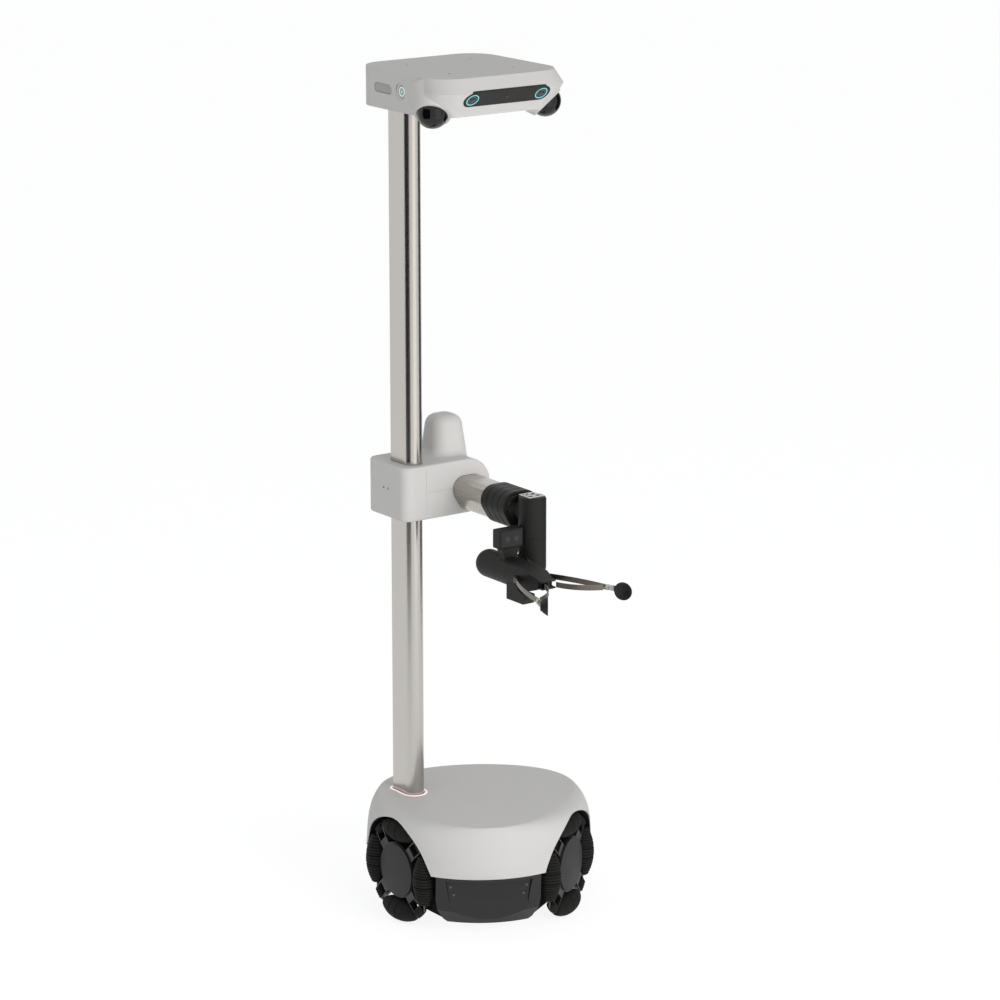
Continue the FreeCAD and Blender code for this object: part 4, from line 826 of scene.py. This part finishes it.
@dataclass
class Gripper(Assembly):
    """The gripper body, its servo, bands and cups."""

    def __post_init__(self) -> None:
        """Name the finishes."""
        self.coats = {"gripper_body": Coat.CHARCOAL.value, "gripper_servo": Coat.CHARCOAL.value}
        for side in ("left", "right"):
            low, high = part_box("finger_inner_band_" + side)
            tip = (high[0] if side == "left" else low[0], low[1], (low[2] + high[2]) / 2)
            # Painted dark reflection: the bands' steel tone is darkened to stand in for the dark surroundings
            # that they mirror.
            steel_and_painted_reflection = BandSteel("band_steel_" + side, tone(116, 110, 102), rough=0.36, metal=1.0,
                              along=(0.35, 0.94, 0.0), depth=0.00001, tip=tip)
            self.coats["finger_outer_band_" + side] = steel_and_painted_reflection
            self.coats["finger_inner_band_" + side] = steel_and_painted_reflection
            self.coats["fingertip_cup_" + side] = Coat.CUP.value


@dataclass
class Head(Assembly):
    """The sensor head."""

    ring_r: float = 0.0085
    ring_width: float = 0.0012
    bar_half: float = 0.0026
    mark_rise: float = 0.0003
    mark_sink: float = 0.0002
    slot_y: float = 0.057
    slot_half: float = 0.0288
    slot_r: float = 0.0078
    slot_rise: float = 0.0004
    rib_pitch: float = 0.004
    rib_height: float = 0.0009
    rib_points: int = 8
    side_points: int = 9
    insert_depth: float = 0.002
    eye_tilt: float = 37.7
    eye_ring_r: float = 0.0128
    eye_r: float = 0.0096
    middle_eye_r: float = 0.0028
    eye_rise: float = 0.0002

    def __post_init__(self) -> None:
        """Name the finishes."""
        self.coats = {"head_shell": Coat.SHELL.value, "head_tray": Coat.SHELL.value,
                      "head_inserts": Coat.BRASS.value, "eye_bar": Coat.BAR.value,
                      "eye_cameras": Coat.LENS.value, "eye_rings": Coat.TEAL.value,
                      "scanner_domes": Coat.GLASS.value, "power_button": Coat.RIB.value}

    def build(self) -> list[bpy.types.Object]:
        """Make the lit power mark, the ribbed insert beside it and the lenses in the eye bar."""
        return [self.power_mark(), self.ribbed_insert()] + self.eyes()

    def power_mark(self) -> bpy.types.Object:
        """The lit ring and stroke on the power button."""
        middle = centre_of("power_button")
        spot = np.array([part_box("power_button")[0][0], middle[1], middle[2]])
        left = np.array([-1.0, 0.0, 0.0])
        outer, inner = self.ring_r, self.ring_r - self.ring_width
        rise, sink = self.mark_rise, -self.mark_sink
        ring = np.array([[inner, 0.0], [inner, rise], [outer, rise], [outer, sink], [inner, sink],
                         [inner, 0.0]])
        pieces = [surface("ring", lathe(ring, spot, left, 48))]
        flat = stadium(self.bar_half, self.ring_width / 2)
        rows = []
        for scale, lift in ((0.0, rise), (1.0, rise), (1.0, sink), (0.0, sink)):
            row = np.stack([np.full(len(flat), spot[0] - lift), spot[1] + flat[:, 1] * scale,
                            spot[2] + flat[:, 0] * scale], axis=-1)
            rows.append(row)
        pieces.append(surface("stroke", np.array(rows)))
        return self.keep(joined("power_mark", pieces), "power_button", "glow_cyan", Coat.CYAN.value)

    def ribbed_insert(self) -> bpy.types.Object:
        """The insert in the long recess on the head's side, with upright ribs.

        Returns:
            The piece, whose front is x = face - rib height * sin(pi * place / rib pitch) ** 2.
        """
        middle = centre_of("power_button")
        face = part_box("power_button")[0][0] - self.slot_rise
        half, r = self.slot_half, self.slot_r
        place = np.linspace(-half, half, int(2 * half / self.rib_pitch * self.rib_points) + 1)
        past = np.clip(np.abs(place) - (half - r), 0.0, r)
        reach = np.sqrt(r * r - past * past)
        side = self.side_points
        share = np.concatenate([np.linspace(-1.0, 1.0, side), np.linspace(1.0, -1.0, side)])
        rib = self.rib_height * np.sin(math.pi * place / self.rib_pitch) ** 2
        front = np.repeat((face - rib)[:, None], side, axis=1)
        back = np.full((len(place), side), face + self.insert_depth)
        depth = np.concatenate([front, back], axis=1)
        height = middle[2] + reach[:, None] * share[None, :]
        length = np.repeat((middle[1] + self.slot_y + place)[:, None], 2 * side, axis=1)
        piece = surface("ribbed_insert", np.stack([depth, length, height], axis=-1), crease=60.0)
        return self.keep(piece, "base", "shell_white", Coat.RIB.value)

    def eyes(self) -> list[bpy.types.Object]:
        """The two lenses inside the lit rings and the small one between them."""
        low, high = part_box("eye_rings")
        middle = centre_of("eye_rings")
        tilt = math.radians(self.eye_tilt)
        out = np.array([0.0, -math.cos(tilt), -math.sin(tilt)])
        half = (high[0] - low[0]) / 2 - self.eye_ring_r
        pieces = []
        for offset, r in ((-half, self.eye_r), (half, self.eye_r), (0.0, self.middle_eye_r)):
            spot = middle + np.array([offset, 0.0, 0.0]) + out * self.eye_rise
            outline = EYE_LENS * np.array([r, r / self.eye_r])
            pieces.append(surface("eye", lathe(outline, spot, out, 40)))
        return [self.keep(joined("eye_lenses", pieces), "base", "lens_glass", Coat.LENS.value)]


@dataclass
class Studio:
    """The floor, the soft light, the dark cards that the metal mirrors, and the camera."""

    base: np.ndarray = field(default_factory=lambda: np.zeros(3))
    azimuth: float = -35.68
    pitch: float = 14.58
    eye: tuple = (-3.9583, -5.5816, 2.57828)
    lens: float = 135.28
    floor_half: float = 60.0
    floor_glow: float = 0.86
    floor_dim: float = 0.68
    sky: float = 0.48

    def __post_init__(self) -> None:
        """Find the middle of the base between the three wheels."""
        wheels = [centre_of("wheel_rollers_" + name) for name in ("right", "left_front", "left_rear")]
        self.base = np.mean(wheels, axis=0) * np.array([1.0, 1.0, 0.0])

    def spot(self, right: float, near: float, up: float) -> Vector:
        """A point given from the photograph's side.

        Args:
            right: metres to the right of the base.
            near: metres towards the camera.
            up: metres above the floor.

        Returns:
            The point.
        """
        turn = math.radians(self.azimuth)
        side = np.array([math.cos(turn), math.sin(turn), 0.0])
        ahead = np.array([-math.sin(turn), math.cos(turn), 0.0])
        return Vector(self.base + side * right - ahead * near + Z_UP * up)

    def camera(self) -> None:
        """Stand the camera where the photograph was taken."""
        data = bpy.data.cameras.new("camera")
        data.lens = self.lens
        data.sensor_width = 36.0
        data.clip_end = 200.0
        camera = bpy.data.objects.new("camera", data)
        camera.location = Vector(self.base + np.array(self.eye))
        turn, dip = math.radians(self.azimuth), math.radians(self.pitch)
        ahead = Vector((-math.sin(turn) * math.cos(dip), math.cos(turn) * math.cos(dip), -math.sin(dip)))
        camera.rotation_euler = ahead.to_track_quat("-Z", "Y").to_euler()
        bpy.context.scene.collection.objects.link(camera)
        bpy.context.scene.camera = camera

    def world(self) -> None:
        """An even pale surround that the camera, gloss and glass see as white."""
        world = bpy.data.worlds.new("surround")
        bpy.context.scene.world = world
        world.use_nodes = True
        tree = world.node_tree
        tree.nodes.clear()
        path = tree.nodes.new("ShaderNodeLightPath")
        seen = self.seen(tree, path)
        soft = tree.nodes.new("ShaderNodeBackground")
        soft.inputs["Color"].default_value = (0.96, 0.98, 1.0, 1.0)
        soft.inputs["Strength"].default_value = self.sky
        white = tree.nodes.new("ShaderNodeBackground")
        white.inputs["Color"].default_value = (1.0, 1.0, 1.0, 1.0)
        white.inputs["Strength"].default_value = 1.0
        blend = tree.nodes.new("ShaderNodeMixShader")
        out = tree.nodes.new("ShaderNodeOutputWorld")
        tree.links.new(seen, blend.inputs[0])
        tree.links.new(soft.outputs[0], blend.inputs[1])
        tree.links.new(white.outputs[0], blend.inputs[2])
        tree.links.new(blend.outputs[0], out.inputs[0])

    def seen(self, tree: bpy.types.NodeTree, path: bpy.types.Node) -> bpy.types.NodeSocket:
        """A value of 1 for rays of the camera, of gloss and through glass.

        Args:
            tree: the node tree.
            path: its Light Path node.

        Returns:
            The value's socket.
        """
        last = path.outputs["Is Camera Ray"]
        for name in ("Is Glossy Ray", "Is Transmission Ray"):
            node = tree.nodes.new("ShaderNodeMath")
            node.operation = "MAXIMUM"
            tree.links.new(last, node.inputs[0])
            tree.links.new(path.outputs[name], node.inputs[1])
            last = node.outputs[0]
        return last

    def floor(self) -> None:
        """A pale floor that shows white where nothing shades it."""
        reach = np.linspace(-self.floor_half, self.floor_half, 2)
        grid = np.array([[(x, y, 0.0) for y in reach] for x in reach])
        floor = surface("floor", grid, close_v=False)
        sheet = Sheet("floor_paper")
        sheet.fix(Roughness=0.9, Specular_IOR_Level=0.1)
        sheet.wire(sheet.mottle(tone(232, 232, 232), 0.01, 2.0), sheet.shader.inputs["Base Color"])
        path = sheet.add("ShaderNodeLightPath")
        glow = sheet.add("ShaderNodeEmission")
        glow.inputs["Strength"].default_value = self.floor_glow
        lit = sheet.add("ShaderNodeAddShader")
        dim = sheet.add("ShaderNodeMixShader")
        dim.inputs[0].default_value = self.floor_dim
        dark = sheet.add("ShaderNodeBsdfTransparent")
        dark.inputs["Color"].default_value = (0.0, 0.0, 0.0, 1.0)
        sheet.wire(sheet.shader.outputs[0], dim.inputs[1])
        sheet.wire(dark.outputs[0], dim.inputs[2])
        sheet.wire(glow.outputs[0], lit.inputs[0])
        sheet.wire(dim.outputs[0], lit.inputs[1])
        blend = sheet.add("ShaderNodeMixShader")
        sheet.wire(self.seen(sheet.tree, path), blend.inputs[0])
        sheet.wire(sheet.shader.outputs[0], blend.inputs[1])
        sheet.wire(lit.outputs[0], blend.inputs[2])
        sheet.wire(blend.outputs[0], sheet.tree.nodes["Material Output"].inputs["Surface"])
        floor.data.materials.append(sheet.material)

    def lamp(self, name: str, place: Vector, aim: Vector, size: float, power: float) -> None:
        """One soft square lamp, which gloss doesn't mirror.

        Args:
            name: its name.
            place: where it stands.
            aim: where it points.
            size: its side.
            power: its power.
        """
        data = bpy.data.lights.new(name, "AREA")
        data.shape = "SQUARE"
        data.size = size
        data.energy = power
        lamp = bpy.data.objects.new(name, data)
        lamp.visible_glossy = False
        lamp.location = place
        lamp.rotation_euler = (aim - place).to_track_quat("-Z", "Y").to_euler()
        bpy.context.scene.collection.objects.link(lamp)

    def card(self, name: str, place: Vector, aim: Vector, width: float, height: float, shade: float) -> None:
        """An upright card that only gloss sees.

        Args:
            name: its name.
            place: its middle.
            aim: the point that it faces.
            width, height: its size.
            shade: how bright it is.
        """
        facing = np.array(aim - place) * np.array([1.0, 1.0, 0.0])
        facing /= np.linalg.norm(facing)
        side = np.cross(Z_UP, facing)
        grid = np.array([[np.array(place) + side * x * width / 2 + Z_UP * y * height / 2
                          for y in (-1.0, 1.0)] for x in (-1.0, 1.0)])
        card = surface(name, grid, close_v=False)
        sheet = Sheet(name)
        glow = sheet.add("ShaderNodeEmission")
        glow.inputs["Color"].default_value = (1.0, 0.97, 0.93, 1.0)
        glow.inputs["Strength"].default_value = shade
        sheet.wire(glow.outputs[0], sheet.tree.nodes["Material Output"].inputs["Surface"])
        card.data.materials.append(sheet.material)
        card.visible_camera = False
        card.visible_diffuse = False
        card.visible_shadow = False
        card.visible_transmission = False

    def build(self) -> None:
        """Set up the whole studio."""
        bpy.context.scene.view_settings.view_transform = "Standard"
        self.camera()
        self.world()
        self.floor()
        heart = self.spot(0.0, 0.0, 0.8)
        self.lamp("key", self.spot(2.9, 3.2, 1.7), heart, 2.6, 92.0)
        self.lamp("fill", self.spot(-1.6, 3.6, 0.9), heart, 2.4, 24.0)
        self.card("card_left", self.spot(-1.55, 1.6, 1.0), heart, 2.3, 3.4, 0.03)
        self.card("card_bright", self.spot(1.3, 1.7, 1.0), heart, 1.5, 3.4, 1.5)
        self.card("card_right", self.spot(1.8, -0.9, 1.0), heart, 1.7, 3.4, 0.06)


def main() -> None:
    """Build the robot's sub-assemblies in order, then the studio."""
    logging.basicConfig(level=logging.INFO, format="%(name)s: %(message)s")
    azimuths = {"right": -90.0, "left_front": 30.0, "left_rear": 150.0}
    assemblies: list[Assembly] = [Wheel(name=name, azimuth=azimuth) for name, azimuth in azimuths.items()]
    assemblies += [Base(), Mast(), Collar(), Arm(), Wrist(), Gripper(), Head()]
    for assembly in assemblies:
        assembly.dress()
        for piece in assembly.build():
            LOG.info("%s: %s, %d faces", type(assembly).__name__, piece.name, len(piece.data.polygons))
    bare = [name for name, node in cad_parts.items() if node.active_material is None]
    LOG.info("solids without a finish: %s", bare)
    Studio().build()


if __name__ == "__main__":
    main()
